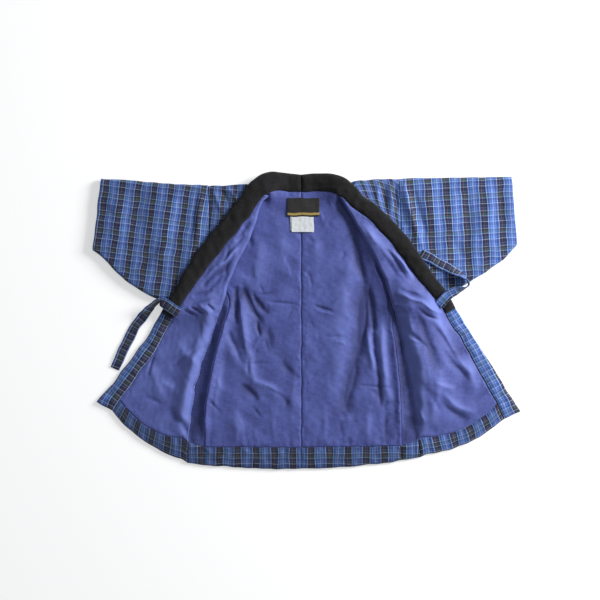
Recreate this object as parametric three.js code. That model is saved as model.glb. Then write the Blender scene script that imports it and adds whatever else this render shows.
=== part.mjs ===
// A child's hanten, a short padded coat, laid open on its back with its lining up.
// Millimetres, +Z up. +Y points to the neck and z = 0 is the surface that it lies on.
// "right" and "left" are the wearer's, so the right side is at -X.
import * as THREE from 'three';

// Driving dimensions of the cloth
const bodyWall = 6;
const frontWall = 5.7;
const gussetWall = 5;
const sleeveWall = 5;
const sleeveGap = 2.4;
const hemWall = 6.5;
const facingWall = 6.6;
const collarWall = 7.6;
const tieWidth = 18;
const tieThick = 2.2;
const seamGap = 0.3;
const rim = 2.5;
const edgeFall = 0.55;
const edgeRise = 0.3;
const sleeveHeight = 2 * sleeveWall + sleeveGap;
const legLow = bodyWall + seamGap;
const flapLow = Math.max(sleeveHeight, legLow + frontWall) + seamGap;
const slopeStart = 5;
const slopeRun = 40;
const foldTurn = 10;

// Driving dimensions of the labels
const neckLabel = { x: -5.5, y: 204.5, wide: 58, high: 33, thick: 0.9 };
const careLabel = { x: -7.5, y: 173.5, wide: 40, high: 27, thick: 0.6 };
const careBack = { x: -12.5, y: 175, wide: 34, high: 25, thick: 0.6 };

const plaid = { color: 0x3f5f9e, roughness: 0.85, metalness: 0 };
const lining = { color: 0x5560a0, roughness: 0.8, metalness: 0 };
const black = { color: 0x1c1c1e, roughness: 0.95, metalness: 0 };
const white = { color: 0xdfe2e8, roughness: 0.7, metalness: 0 };

// makes a table of rows with named columns
function table(columns, rows) {
  const names = columns.split(' ');
  return rows.map(row => Object.fromEntries(names.map((name, place) => [name, row[place]])));
}

// The centre seam of the back, and where its lining ends above the turned-up hem
const centreX = -9.6;
const hemTop = -227.9;

// Each front, down from the neck: its seam with the collar or facing, its fold over the back or,
// lower down, its seam with the gusset, the height at which its hidden leg meets the sleeve, how
// far the rows and the leg's rows bow, and the width of the band outside the seam.
const frontColumns = 'at seamX seamY foldX foldY armY legBow bow band';
const rightFront = table(frontColumns, [
  [0.00, -76, 228, -67, 226, 243, 20, 0, 33],
  [0.08, -93, 203, -79, 213, 218, 12, 0, 33],
  [0.18, -111, 179, -90, 180, 186, 5, 0, 33],
  [0.28, -136, 149, -101, 150, 146, 0, 0, 32],
  [0.38, -166, 112, -119, 115, 106, 0, 0, 32],
  [0.48, -196, 73, -138, 72, 67, 0, 0, 28],
  [0.56, -223, 33.5, -149, 33, 33, 0, 0, 23],
  [0.64, -247, -5, -161, -3, 20, 0, 1, 23],
  [0.72, -269, -47, -178, -47, 20, 0, 3, 25],
  [0.80, -300, -90, -191, -92, 20, 0, 7, 26],
  [0.88, -325, -126, -204, -146, 20, 0, 12, 27],
  [0.94, -337, -141, -213, -218, 20, 0, 15, 29],
  [1.00, -349, -162, -215, -255, 20, 0, 12, 33],
]);
const leftFront = table(frontColumns, [
  [0.00, 66, 223, 57, 225, 255.5, 28, 0, 28],
  [0.08, 82, 205, 67, 211, 226, 14, 0, 27],
  [0.18, 111, 184, 83, 184, 191, 6, 0, 27],
  [0.28, 143, 150, 102, 151, 155, 0, 0, 29],
  [0.38, 172, 114, 122, 114, 117, 0, 0, 29],
  [0.48, 200, 75, 139, 76, 74, 0, 0, 27],
  [0.56, 236, 33.5, 152, 34, 34, 0, 0, 23],
  [0.64, 258, -2, 161, -2, 20, 0, 1, 22],
  [0.72, 285, -45, 170, -45, 20, 0, 3, 22],
  [0.80, 310, -90, 179, -88, 20, 0, 7, 25],
  [0.88, 330, -126, 187, -142, 20, 0, 12, 27],
  [0.94, 342, -149, 199, -215, 20, 0, 15, 29],
  [1.00, 355, -176, 206, -244, 20, 0, 12, 33],
]);

// The collar's seam round the back of the neck, from the centre to where each front begins
const neckColumns = 'at x y band rest';
const rightNeck = table(neckColumns, [
  [-0.24, -9.8, 232.7, 30, 0],
  [-0.16, -33, 233.6, 32, 0],
  [-0.10, -51, 235.6, 33, 5],
  [-0.05, -65, 234.5, 33, 12],
  [0.00, -76, 228, 33, flapLow],
]);
const leftNeck = table(neckColumns, [
  [-0.24, -9.4, 232.7, 30, 0],
  [-0.16, 10, 233.8, 31, 0],
  [-0.10, 33, 234.5, 31, 5],
  [-0.05, 51, 232, 30, 12],
  [0.00, 66, 223, 28, flapLow],
]);

// Each back half's outer side, from the shoulder down the armhole and the gusset's seam
const sideColumns = 'at x y';
const rightBack = table(sideColumns, [
  [0.00, -175.9, 243],
  [0.12, -174.7, 190],
  [0.24, -173.4, 137],
  [0.31, -169, 106],
  [0.38, -157, 74],
  [0.46, -139, 38],
  [0.52, -143, 14],
  [0.60, -155, -26],
  [0.72, -169, -86],
  [0.84, -180, -142],
  [0.94, -184, -192],
  [1.00, -185, -227],
]);
const leftBack = table(sideColumns, [
  [0.00, 164.9, 255.5],
  [0.12, 168.2, 193],
  [0.24, 171.1, 137],
  [0.31, 171, 106],
  [0.38, 161, 74],
  [0.46, 147.5, 38],
  [0.52, 151, 14],
  [0.60, 157, -26],
  [0.72, 164.5, -86],
  [0.84, 169, -142],
  [0.94, 171, -192],
  [1.00, 172, -225],
]);

// Each back half's upper edge: the neck seam, then the shoulder fold out to the sleeve
const topColumns = 'x y';
const rightTop = table(topColumns, [
  [-9.6, 232.2],
  [-33, 233],
  [-51, 234.6],
  [-65, 233.4],
  [-78, 238],
  [-92, 243],
  [-130, 243.6],
  [-176, 243],
]);
const leftTop = table(topColumns, [
  [-9.6, 232.2],
  [10, 233.2],
  [33, 233.6],
  [51, 231],
  [66, 240],
  [82, 250],
  [120, 255],
  [165, 255.5],
]);

// The sleeves' top fold and underarm seam, from the cuff to the armhole
const sleeveColumns = 'at topX topY lowX lowY';
const rightSleeve = table(sleeveColumns, [
  [0.00, -369.5, 256, -384, 127],
  [0.10, -352, 255, -361, 109],
  [0.22, -326, 253.5, -337, 83],
  [0.36, -296, 251, -311, 62.5],
  [0.52, -262, 248, -276, 43],
  [0.70, -228, 246, -237, 34],
  [0.86, -199, 245, -200, 31],
  [1.00, -176.6, 244.6, -172, 31],
]);
const leftSleeve = table(sleeveColumns, [
  [0.00, 368, 259.4, 378.5, 137],
  [0.10, 350, 259.3, 355, 112],
  [0.22, 327, 259, 326, 91],
  [0.36, 300, 258.6, 293, 70],
  [0.52, 266, 258, 258, 51.5],
  [0.70, 228, 257.5, 226, 40],
  [0.86, 193, 257, 197, 33.5],
  [1.00, 165.5, 256, 177, 32.5],
]);

// The hem's lower edge, outward from the centre seam
const hemColumns = 'x y';
const rightHem = table(hemColumns, [
  [-9.6, -265.9],
  [-72, -265.6],
  [-112, -264.2],
  [-152, -261.4],
  [-185, -258.7],
  [-215, -255],
]);
const leftHem = table(hemColumns, [
  [-9.6, -265.9],
  [43, -264.4],
  [105, -258.7],
  [148, -254.2],
  [172, -250],
  [206, -244],
]);

// The largest soft folds: a ridge from one place to another, its half width and its height
const foldColumns = 'x y toX toY wide high';
const rightBackFolds = table(foldColumns, [
  [-152, -10, -104, -104, 11, 2.6],
  [-104, -100, -42, -134, 12, 2.0],
  [-128, 62, -86, -20, 12, 2.4],
  [-60, 150, -88, 40, 14, 1.6],
  [-120, -120, -96, -224, 13, 1.8],
]);
const leftBackFolds = table(foldColumns, [
  [126, 50, 112, -150, 11, 2.8],
  [86, 60, 60, -150, 14, 1.8],
  [146, -30, 152, -210, 9, 2.4],
  [40, 170, 86, 70, 12, 1.8],
]);
const rightFrontFolds = table(foldColumns, [
  [-236, -36, -186, -92, 12, 2.6],
  [-285, -70, -258, -140, 12, 2.2],
  [-200, -84, -236, -200, 14, 2.2],
  [-112, 168, -150, 96, 11, 1.8],
  [-166, 60, -186, -20, 12, 1.8],
]);
const leftFrontFolds = table(foldColumns, [
  [204, 60, 262, -50, 13, 2.8],
  [178, 30, 226, -96, 12, 2.4],
  [240, -110, 222, -190, 11, 2.0],
  [282, -70, 308, -128, 10, 1.8],
  [100, 176, 150, 104, 10, 2.0],
]);
const rightSleeveFolds = table(foldColumns, [
  [-186, 236, -198, 130, 8, 1.8],
  [-226, 240, -262, 110, 14, 1.4],
  [-330, 236, -340, 120, 14, 1.2],
]);
const leftSleeveFolds = table(foldColumns, [
  [173, 250, 204, 142, 8, 3.4],
  [214, 246, 236, 150, 11, 1.6],
  [330, 240, 320, 120, 15, 1.4],
  [270, 236, 250, 80, 13, 1.2],
]);

// Places down a front, closer together where it unrolls from a fold into one layer
const frontPlaces = [
  0, 0.008, 0.04, 0.08, 0.13, 0.18, 0.23, 0.28, 0.34, 0.41, 0.48, 0.52, 0.56, 0.572,
  0.584, 0.596, 0.608, 0.62, 0.64, 0.68, 0.72, 0.76, 0.8, 0.84, 0.88, 0.91, 0.934, 0.94,
];
const gussetDown = [0.31, 0.35, 0.385, 0.42, 0.45, 0.475, 0.5, 0.53, 0.6, 0.68, 0.76, 0.84, 0.92, 0.99, 1];
const neckPlaces = [-0.24, -0.234, -0.2, -0.16, -0.13, -0.1, -0.075, -0.05, -0.025];
const hemFrom = frontPlaces.at(-1);
const endGap = 0.0006;
const unrollFrom = 0.56;
const unrollTo = 0.62;
const rightCollarEnd = 0.62;
const leftCollarEnd = 0.608;

// How far the left tie's end lifts the collar that lies on it
const tieLift = 4.2;
const tieReach = 27;

// The ties' middle lines: place, height above the floor, and how far the strip leans on its edge
const tieColumns = 'x y z lean';
const rightTiePath = table(tieColumns, [
  [-228, 15, 18.6, -12],
  [-238, 21, 20.6, -10],
  [-248, 28, 22, -6],
  [-257, 34, 22.9, -20],
  [-265, 37, 22.5, -62],
  [-274, 31, 16, -70],
  [-285, 19, 9.5, -40],
  [-298, 4, 3.5, -8],
  [-309, -11, 1.7, 0],
  [-321, -34, 1.5, 0],
  [-333, -59, 2.4, 0],
  [-344.5, -86, 1.5, 0],
]);
const leftTiePath = table(tieColumns, [
  [236, 28, 19, 14],
  [244, 37, 22, 10],
  [253, 46, 23.4, 10],
  [264, 53, 23.2, 30],
  [275, 57, 22.6, 60],
  [285, 60.5, 23, 84],
  [291, 66.5, 23.6, 90],
  [288, 73, 23.6, 88],
  [280, 80, 23, 72],
  [268, 88, 20, 40],
  [256, 94, 16.2, 8],
  [229, 109, 14.4, 0],
  [205, 121.5, 14.3, 0],
]);

// reads a column of a table at a place between its rows, along a smooth curve
function read(rows, column, place, key = 'at') {
  const rising = rows[rows.length - 1][key] > rows[0][key] ? 1 : -1;
  const last = rows.length - 1;
  let row = 0;
  while (row < last - 1 && (rows[row + 1][key] - place) * rising < 0) row += 1;
  const slope = index => {
    const before = rows[Math.max(index - 1, 0)];
    const after = rows[Math.min(index + 1, last)];
    return (after[column] - before[column]) / (after[key] - before[key]);
  };
  const step = rows[row + 1][key] - rows[row][key];
  const t = Math.min(Math.max((place - rows[row][key]) / step, 0), 1);
  const start = rows[row][column] * (2 * t ** 3 - 3 * t ** 2 + 1);
  const end = rows[row + 1][column] * (3 * t ** 2 - 2 * t ** 3);
  const leaving = slope(row) * step * (t ** 3 - 2 * t ** 2 + t);
  const arriving = slope(row + 1) * step * (t ** 3 - t ** 2);
  return start + end + leaving + arriving;
}

const mix = (from, to, share) => from + (to - from) * share;

const ease = share => {
  const t = Math.min(Math.max(share, 0), 1);
  return t * t * (3 - 2 * t);
};

// height that the soft folds add at a place: round ridges that fade at both ends
function swell(folds, x, y) {
  let height = 0;
  for (const fold of folds) {
    const alongX = fold.toX - fold.x;
    const alongY = fold.toY - fold.y;
    const length = Math.hypot(alongX, alongY);
    const share = ((x - fold.x) * alongX + (y - fold.y) * alongY) / length ** 2;
    const aside = ((x - fold.x) * alongY - (y - fold.y) * alongX) / length;
    if (share <= 0 || share >= 1) continue;
    height += fold.high * Math.sin(Math.PI * share) * Math.exp(-((aside / fold.wide) ** 2));
  }
  return height;
}

// lowest part of a sleeve at a place across the garment
function sleeveUnderside(sleeve, x) {
  return read(sleeve, 'lowY', x, 'lowX');
}

// height of what lies under a front or collar: the sleeve, and a slope down to the floor below it
function restHeight(sleeve, x, y) {
  const below = sleeveUnderside(sleeve, x) - y;
  return flapLow * (1 - ease((below - slopeStart) / slopeRun));
}

// shares of a width, with one place close to each edge
function spread(width, steps) {
  const edge = Math.min(rim / width, 0.3);
  const inner = Array.from({ length: steps - 1 }, (_, step) => mix(edge, 1 - edge, (step + 1) / steps));
  return [0, edge, ...inner, 1 - edge, 1];
}

// how much of the wall's thickness is left towards an edge, by rows counted from that edge
function roundness(index, count) {
  const fromEdge = Math.min(index, count - 1 - index);
  return [0.45, 0.88][fromEdge] ?? 1;
}

// joins a grid of upper points and a grid of lower points into one closed wall
function wallGeometry(upper, lower) {
  const rows = upper.length;
  const columns = upper[0].length;
  const points = [...upper.flat(), ...lower.flat()];
  const end = columns - 1;
  const foot = rows - 1;
  const top = (row, column) => row * columns + column;
  const bottom = (row, column) => rows * columns + row * columns + column;
  const faces = [];
  const quad = (a, b, c, d) => faces.push(a, b, c, a, c, d);
  for (let row = 0; row < rows - 1; row += 1) {
    for (let column = 0; column < columns - 1; column += 1) {
      quad(top(row, column), top(row + 1, column), top(row + 1, column + 1), top(row, column + 1));
      quad(bottom(row, column), bottom(row, column + 1), bottom(row + 1, column + 1), bottom(row + 1, column));
    }
    quad(top(row, 0), bottom(row, 0), bottom(row + 1, 0), top(row + 1, 0));
    quad(top(row, end), top(row + 1, end), bottom(row + 1, end), bottom(row, end));
  }
  for (let column = 0; column < columns - 1; column += 1) {
    quad(top(0, column), top(0, column + 1), bottom(0, column + 1), bottom(0, column));
    quad(top(foot, column), bottom(foot, column), bottom(foot, column + 1), top(foot, column + 1));
  }
  return closedGeometry(points, faces);
}

// joins rings of points into a tube with two open ends: outer and inner are grids of rings
function tubeGeometry(outer, inner) {
  const rings = outer.length;
  const count = outer[0].length;
  const points = [...outer.flat(), ...inner.flat()];
  const out = (ring, place) => ring * count + (place % count);
  const into = (ring, place) => (rings + ring) * count + (place % count);
  const faces = [];
  const quad = (a, b, c, d) => faces.push(a, b, c, a, c, d);
  for (let place = 0; place < count; place += 1) {
    for (let ring = 0; ring < rings - 1; ring += 1) {
      quad(out(ring, place), out(ring + 1, place), out(ring + 1, place + 1), out(ring, place + 1));
      quad(into(ring, place), into(ring, place + 1), into(ring + 1, place + 1), into(ring + 1, place));
    }
    quad(out(0, place), out(0, place + 1), into(0, place + 1), into(0, place));
    quad(out(rings - 1, place), into(rings - 1, place), into(rings - 1, place + 1), out(rings - 1, place + 1));
  }
  return closedGeometry(points, faces);
}

// turns points and faces into a geometry whose faces point out
function closedGeometry(points, faces) {
  let volume = 0;
  for (let corner = 0; corner < faces.length; corner += 3) {
    const [a, b, c] = faces.slice(corner, corner + 3).map(index => new THREE.Vector3(...points[index]));
    volume += a.dot(b.cross(c));
  }
  const outward = volume > 0 ? faces : faces.slice().reverse();
  const geometry = new THREE.BufferGeometry();
  geometry.setAttribute('position', new THREE.Float32BufferAttribute(points.flat(), 3));
  geometry.setIndex(outward);
  geometry.computeVertexNormals();
  return geometry;
}

function piece(name, geometry, finish) {
  const mesh = new THREE.Mesh(geometry, new THREE.MeshStandardMaterial(finish));
  mesh.name = name;
  return mesh;
}

// a wall that lies on something: place(row, share) gives x, y and the height below it
function lyingWall(rowCount, thick, shares, place, folds) {
  const upper = [];
  const lower = [];
  for (let row = 0; row < rowCount; row += 1) {
    const across = shares(row);
    const top = [];
    const bottom = [];
    across.forEach((share, column) => {
      const [x, y, base] = place(row, share);
      const full = Math.min(roundness(row, rowCount), roundness(column, across.length));
      const inside = Math.min(row, rowCount - 1 - row, column, across.length - 1 - column) > 1;
      const lost = (1 - full) * thick;
      const fold = inside ? swell(folds, x, y) : 0;
      top.push([x, y, base + thick - lost * edgeFall + fold]);
      bottom.push([x, y, base + lost * edgeRise]);
    });
    upper.push(top);
    lower.push(bottom);
  }
  return wallGeometry(upper, lower);
}

// Back halves
const backDown = [0, 0.006, 0.05, 0.12, 0.2, 0.28, ...gussetDown];

function makeBack(name, side, top, sign, folds) {
  const hemDrop = hemTop - side[side.length - 1].y;
  const inner = centreX + sign * seamGap / 2;
  const shares = row => spread(Math.abs(read(side, 'x', backDown[row]) - inner), 9);
  const place = (row, share) => {
    const down = backDown[row];
    const x = mix(inner, read(side, 'x', down), share);
    const drop = (side[0].y - read(top, 'y', x, 'x')) * (1 - ease(down / 0.2));
    const level = mix(hemDrop, 0, share) * ease(down);
    return [x, read(side, 'y', down) - drop + level, 0];
  };
  return piece(name, lyingWall(backDown.length, bodyWall, shares, place, folds), lining);
}

// direction square to the seam at a place down a front or round the neck, pointing outward
function outward(at, seamAt, turn) {
  if (at <= neckPlaces[0]) return [0, 1];
  const [beforeX, beforeY] = seamAt(at - 0.012);
  const [afterX, afterY] = seamAt(at + 0.012);
  const length = Math.hypot(afterX - beforeX, afterY - beforeY);
  return [turn * (afterY - beforeY) / length, -turn * (afterX - beforeX) / length];
}

function seamReader(front, neck) {
  return at => (at >= 0
    ? [read(front, 'seamX', at), read(front, 'seamY', at)]
    : [read(neck, 'x', at), read(neck, 'y', at)]);
}

// Fronts: a hidden leg over the back, a turn, and the turned-back layer; lower down one layer
function frontPath(front, sleeve, armX, at) {
  const seam = [read(front, 'seamX', at), read(front, 'seamY', at)];
  const edge = [read(front, 'foldX', at), read(front, 'foldY', at)];
  const width = Math.hypot(edge[0] - seam[0], edge[1] - seam[1]);
  const out = [(edge[0] - seam[0]) / width, (edge[1] - seam[1]) / width];
  const half = frontWall / 2;
  const unrolled = ease((at - unrollFrom) / (unrollTo - unrollFrom));
  const curl = Math.max(Math.PI * (1 - unrolled), 0.01);
  const radius = foldTurn / curl;
  const shortLeg = 2;
  const reach = curl > Math.PI / 2
    ? radius + half
    : radius * Math.sin(curl) + shortLeg * Math.cos(curl) + half * Math.sin(curl);
  const start = [edge[0] - out[0] * reach, edge[1] - out[1] * reach];
  const layerWidth = Math.max(width - reach, 1.5);
  const bow = read(front, 'bow', at);
  const levelAt = (x, y) => restHeight(sleeve, x, y) + half;
  const startLevel = levelAt(start[0], start[1]);
  const turn = radius * (1 - Math.cos(curl));
  const turnEnd = [start[0] + out[0] * radius * Math.sin(curl), start[1] + out[1] * radius * Math.sin(curl)];
  const armY = read(front, 'armY', at);
  const arm = [armX(armY), armY];
  const legSpan = Math.hypot(arm[0] - turnEnd[0], arm[1] - turnEnd[1]);
  const toArm = [(arm[0] - turnEnd[0]) / legSpan, (arm[1] - turnEnd[1]) / legSpan];
  const legLength = mix(legSpan, shortLeg, ease((at - unrollFrom) / 0.02));
  const sideways = Math.abs(Math.cos(curl));
  const way = curl > Math.PI / 2 ? toArm : out;
  const legWay = [way[0] * sideways, way[1] * sideways];
  const legBow = read(front, 'legBow', at);
  const path = [];
  const legShares = spread(legLength, 3).reverse();
  legShares.forEach((share, index) => {
    const bowed = legBow * (1 - share) * ease(share / 0.35);
    path.push({
      x: turnEnd[0] + legWay[0] * legLength * share,
      y: turnEnd[1] + legWay[1] * legLength * share + bowed,
      z: startLevel - turn - legLength * share * Math.sin(curl),
      thick: roundness(index, 99),
      away: curl,
      tip: index < 2,
    });
  });
  const turnSteps = 5;
  for (let step = turnSteps - 1; step > 0; step -= 1) {
    const angle = curl * step / turnSteps;
    path.push({
      x: start[0] + out[0] * radius * Math.sin(angle),
      y: start[1] + out[1] * radius * Math.sin(angle),
      z: startLevel - radius * (1 - Math.cos(angle)),
      thick: 1,
      away: angle,
    });
  }
  const layerShares = spread(layerWidth, 9);
  layerShares.forEach((share, index) => {
    const x = mix(start[0], seam[0], share);
    const y = mix(start[1], seam[1], share);
    const bowed = bow * 4 * share * (1 - share);
    path.push({
      x: x + out[1] * bowed * Math.sign(out[0]),
      y: y - Math.abs(out[0]) * bowed,
      z: mix(startLevel, levelAt(x, y), ease(share * 3)),
      thick: index > 3 ? roundness(index, layerShares.length) : 1,
      away: 0,
    });
  });
  return { path, out };
}

function makeFront(name, front, sleeve, folds) {
  const armX = y => armholeX(sleeve, y) - Math.sign(front[0].seamX) * 0.5;
  const upper = [];
  const lower = [];
  frontPlaces.forEach((at, row) => {
    const { path, out } = frontPath(front, sleeve, armX, at);
    const ends = roundness(row, frontPlaces.length);
    const top = [];
    const bottom = [];
    path.forEach(({ x, y, z, thick, away }) => {
      const half = frontWall / 2 * Math.min(thick, ends);
      const tilt = [out[0] * Math.sin(away) * half, out[1] * Math.sin(away) * half];
      const rise = Math.cos(away) * half;
      const fold = away === 0 && thick === 1 && ends === 1 ? swell(folds, x, y) : 0;
      top.push([x + tilt[0], y + tilt[1], Math.max(z + rise + fold, 0)]);
      bottom.push([x - tilt[0], y - tilt[1], Math.max(z - rise, 0)]);
    });
    upper.push(top);
    lower.push(bottom);
  });
  return piece(name, wallGeometry(upper, lower), lining);
}

// Gussets: a narrow wedge between the back's side and the front, its top under the front's leg
function makeGusset(name, side, front, sleeve, sign) {
  const hemBack = side[side.length - 1].y;
  const hemFront = read(front, 'foldY', hemFrom);
  const place = (row, share) => {
    const backX = read(side, 'x', gussetDown[row]) + sign * (seamGap + 0.1);
    const y = read(side, 'y', gussetDown[row]);
    const armX = armholeX(sleeve, y) - sign * 0.6;
    const nearHem = ease(1 - (y - hemBack) / 60);
    const frontX = read(front, 'foldX', y, 'foldY') - sign * (1 + 2.4 * nearHem);
    const outerX = mix(frontX, armX, ease((y - 32) / 14));
    const x = mix(backX, sign * Math.max(sign * outerX, sign * backX + 1), share);
    return [x, y + (hemFront - hemBack) * share * nearHem, 0];
  };
  const shares = () => [0, 0.14, 0.5, 0.86, 1];
  return piece(name, lyingWall(gussetDown.length, gussetWall, shares, place, []), lining);
}

// Sleeves: a flattened tube, open at the cuff and at the armhole
function armholeX(sleeve, y) {
  const end = sleeve[sleeve.length - 1];
  return mix(end.lowX, end.topX, (y - end.lowY) / (end.topY - end.lowY));
}

function makeSleeve(name, sleeve, folds) {
  const places = [0, 0.02, 0.1, 0.22, 0.36, 0.52, 0.66, 0.8, 0.91, 0.98, 1];
  const steps = 8;
  const high = sleeveHeight / 2;
  const outer = [];
  const inner = [];
  places.forEach((at, ring) => {
    const top = [read(sleeve, 'topX', at), read(sleeve, 'topY', at)];
    const low = [read(sleeve, 'lowX', at), read(sleeve, 'lowY', at)];
    const width = Math.hypot(low[0] - top[0], low[1] - top[1]);
    const lip = ring === 0 || ring === places.length - 1 ? 0.82 : 1;
    const loop = (inset, half) => {
      const edge = (inset + half * 0.12) / width;
      const near = (inset + half * 0.7) / width;
      const inside = Array.from({ length: steps + 1 }, (_, step) => {
        const from = (inset + half * 1.6) / width;
        return mix(from, 1 - from, step / steps);
      });
      const shares = [edge, near, ...inside, 1 - near, 1 - edge];
      const heights = [0.4, 0.86, ...inside.map(() => 1), 0.86, 0.4];
      return { shares, heights: heights.map(share => share * half) };
    };
    const makeRing = (inset, half, raised) => {
      const { shares, heights } = loop(inset, half);
      const upper = shares.map((share, index) => {
        const x = mix(top[0], low[0], share);
        const y = mix(top[1], low[1], share);
        const fold = raised && heights[index] === half && lip === 1 ? swell(folds, x, y) : 0;
        return [x, y, high + heights[index] + fold];
      });
      const lower = shares.map((share, index) => {
        const x = mix(top[0], low[0], share);
        const y = mix(top[1], low[1], share);
        return [x, y, high - heights[index]];
      }).reverse();
      return [...upper, ...lower];
    };
    outer.push(makeRing(0, high * lip, true));
    inner.push(makeRing(sleeveWall, sleeveGap / 2, false));
  });
  return piece(name, tubeGeometry(outer, inner), plaid);
}

// Bands: the collar and the turned-in front edge, outside the seam line by a width
function makeBand(name, places, band, finish) {
  const { seamAt, turn, widthAt, levelAt, thick, nearGap } = band;
  const shares = row => spread(widthAt(places[row]) - nearGap, 3);
  const place = (row, share) => {
    const at = places[row];
    const [x, y] = seamAt(at);
    const way = outward(at, seamAt, turn);
    const away = mix(nearGap, widthAt(at), share);
    const seat = [x + way[0] * away, y + way[1] * away];
    return [...seat, levelAt(at, ...seat)];
  };
  return piece(name, lyingWall(places.length, thick, shares, place, []), finish);
}

function makeCollar(name, front, neck, sleeve, sign, end, tieEnd) {
  const places = [...neckPlaces, ...frontPlaces.filter(at => at < end - endGap)];
  places.push(mix(places.at(-1), end, 0.7), end - endGap);
  const levelAt = (at, x, y) => {
    if (at <= 0) return Math.max(read(neck, 'rest', at), 0);
    const fromTie = tieEnd ? Math.hypot(x - tieEnd.x, y - tieEnd.y) / tieReach : Infinity;
    return mix(flapLow, restHeight(sleeve, x, y), ease(at / 0.2)) + tieLift * Math.exp(-(fromTie ** 2));
  };
  const widthAt = at => (at >= 0 ? read(front, 'band', at) : read(neck, 'band', at));
  const seamAt = seamReader(front, neck);
  const band = { seamAt, turn: -sign, widthAt, levelAt, thick: collarWall, nearGap: seamGap };
  return makeBand(name, places, band, black);
}

function makeFacing(name, front, neck, sleeve, sign, start) {
  const inner = frontPlaces.filter(at => at > start + endGap && at < frontPlaces.at(-2));
  const places = [start + endGap, mix(start, inner[0], 0.35), ...inner, hemFrom, 0.97, 0.995, 1];
  const levelAt = (at, x, y) => restHeight(sleeve, x, y);
  const widthAt = at => read(front, 'band', at);
  const seamAt = seamReader(front, neck);
  const band = { seamAt, turn: -sign, widthAt, levelAt, thick: facingWall, nearGap: seamGap };
  return makeBand(name, places, band, plaid);
}

// Hem bands: the outer cloth turned up over each panel's lower edge, from points along the panel's
// edge and as many along the hem
function makeHemBand(name, upperEdge, lowerEdge) {
  const down = [0, 0.07, 0.5, 0.93, 1];
  const columns = upperEdge.map((point, column) => column);
  const place = (row, column) => {
    const [topX, topY] = upperEdge[column];
    const [lowX, lowY] = lowerEdge[column];
    return [mix(topX, lowX, down[row]), mix(topY, lowY, down[row]), 0];
  };
  return piece(name, lyingWall(down.length, hemWall, () => columns, place, []), plaid);
}

function makeHems(label, side, front, sleeve, hem, sign) {
  const corner = side[side.length - 1];
  const shares = spread(Math.abs(corner.x - centreX), 7);
  const startX = centreX + sign * seamGap / 2;
  const backUpper = shares.map(share => [mix(startX, corner.x, share), mix(hemTop, corner.y, share) - seamGap]);
  const backLower = backUpper.map(([x]) => [x, read(hem, 'y', x, 'x')]);
  const frontRow = at => frontPath(front, sleeve, () => 0, at).path.filter(point => point.tip || !point.away);
  const frontUpper = frontRow(hemFrom).map(({ x, y }) => [x, y - seamGap]);
  const frontLower = frontRow(1).map(({ x, y }) => [x, y]);
  const [topX, topY] = frontUpper[0];
  const [lowX, lowY] = frontLower[0];
  const narrow = [0, 0.12, 0.5, 0.88, 1];
  const gap = sign * seamGap;
  const lowCorner = backLower.at(-1)[1];
  const between = (x, y, endX, endY) => narrow.map(share => [mix(x, endX, share), mix(y, endY, share)]);
  const gussetUpper = between(corner.x + gap, corner.y - seamGap, topX - gap, topY - seamGap);
  const gussetLower = between(corner.x + gap, lowCorner, lowX - gap, lowY);
  return [
    makeHemBand(`hem_back_${label}`, backUpper, backLower),
    makeHemBand(`hem_gusset_${label}`, gussetUpper, gussetLower),
    makeHemBand(`hem_front_${label}`, frontUpper, frontLower),
  ];
}

// Ties: a flat strip swept along its middle line, leaning on its edge where it turns
function makeTie(name, path) {
  const points = path.map(({ x, y, z }) => new THREE.Vector3(x, y, z));
  const line = new THREE.CatmullRomCurve3(points, false, 'centripetal');
  const steps = 2 * (path.length - 1);
  const half = tieWidth / 2;
  const rows = { upper: [], lower: [] };
  const across = [-1, -0.9, -0.4, 0.4, 0.9, 1];
  for (let step = 0; step <= steps; step += 1) {
    const share = step / steps;
    const middle = line.getPoint(share);
    const ahead = line.getTangent(share);
    const position = share * (path.length - 1);
    const index = Math.min(Math.floor(position), path.length - 2);
    const lean = THREE.MathUtils.degToRad(mix(path[index].lean, path[index + 1].lean, ease(position - index)));
    const flat = new THREE.Vector3(-ahead.y, ahead.x, 0).normalize();
    const side = flat.clone().applyAxisAngle(ahead.clone().normalize(), lean);
    const up = new THREE.Vector3().crossVectors(ahead, side).normalize();
    const makeRow = facing => across.map(place => {
      const full = Math.abs(place) === 1 ? 0.5 : 1;
      const point = middle.clone().addScaledVector(side, place * half);
      point.addScaledVector(up, facing * full * tieThick / 2);
      return [point.x, point.y, Math.max(point.z, 0.2)];
    });
    rows.upper.push(makeRow(1));
    rows.lower.push(makeRow(-1));
  }
  return piece(name, wallGeometry(rows.upper, rows.lower), plaid);
}

// Labels: thin patches on the back's upper face, moved out from it
function makeLabel(name, label, under, finish) {
  const rows = [0, 0.08, 0.5, 0.92, 1];
  const shares = () => [0, 0.06, 0.35, 0.65, 0.94, 1];
  const place = (row, share) => {
    const x = label.x + (share - 0.5) * label.wide;
    const y = label.y + (0.5 - rows[row]) * label.high;
    return [x, y, bodyWall + seamGap + under];
  };
  return piece(name, lyingWall(rows.length, label.thick, shares, place, []), finish);
}

const sides = [
  {
    label: 'right',
    sign: -1,
    front: rightFront,
    neck: rightNeck,
    back: rightBack,
    top: rightTop,
    sleeve: rightSleeve,
    hem: rightHem,
    tie: rightTiePath,
    tieEnd: null,
    collarEnd: rightCollarEnd,
    backFolds: rightBackFolds,
    frontFolds: rightFrontFolds,
    sleeveFolds: rightSleeveFolds,
  },
  {
    label: 'left',
    sign: 1,
    front: leftFront,
    neck: leftNeck,
    back: leftBack,
    top: leftTop,
    sleeve: leftSleeve,
    hem: leftHem,
    tie: leftTiePath,
    tieEnd: leftTiePath.at(-1),
    collarEnd: leftCollarEnd,
    backFolds: leftBackFolds,
    frontFolds: leftFrontFolds,
    sleeveFolds: leftSleeveFolds,
  },
];

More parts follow.
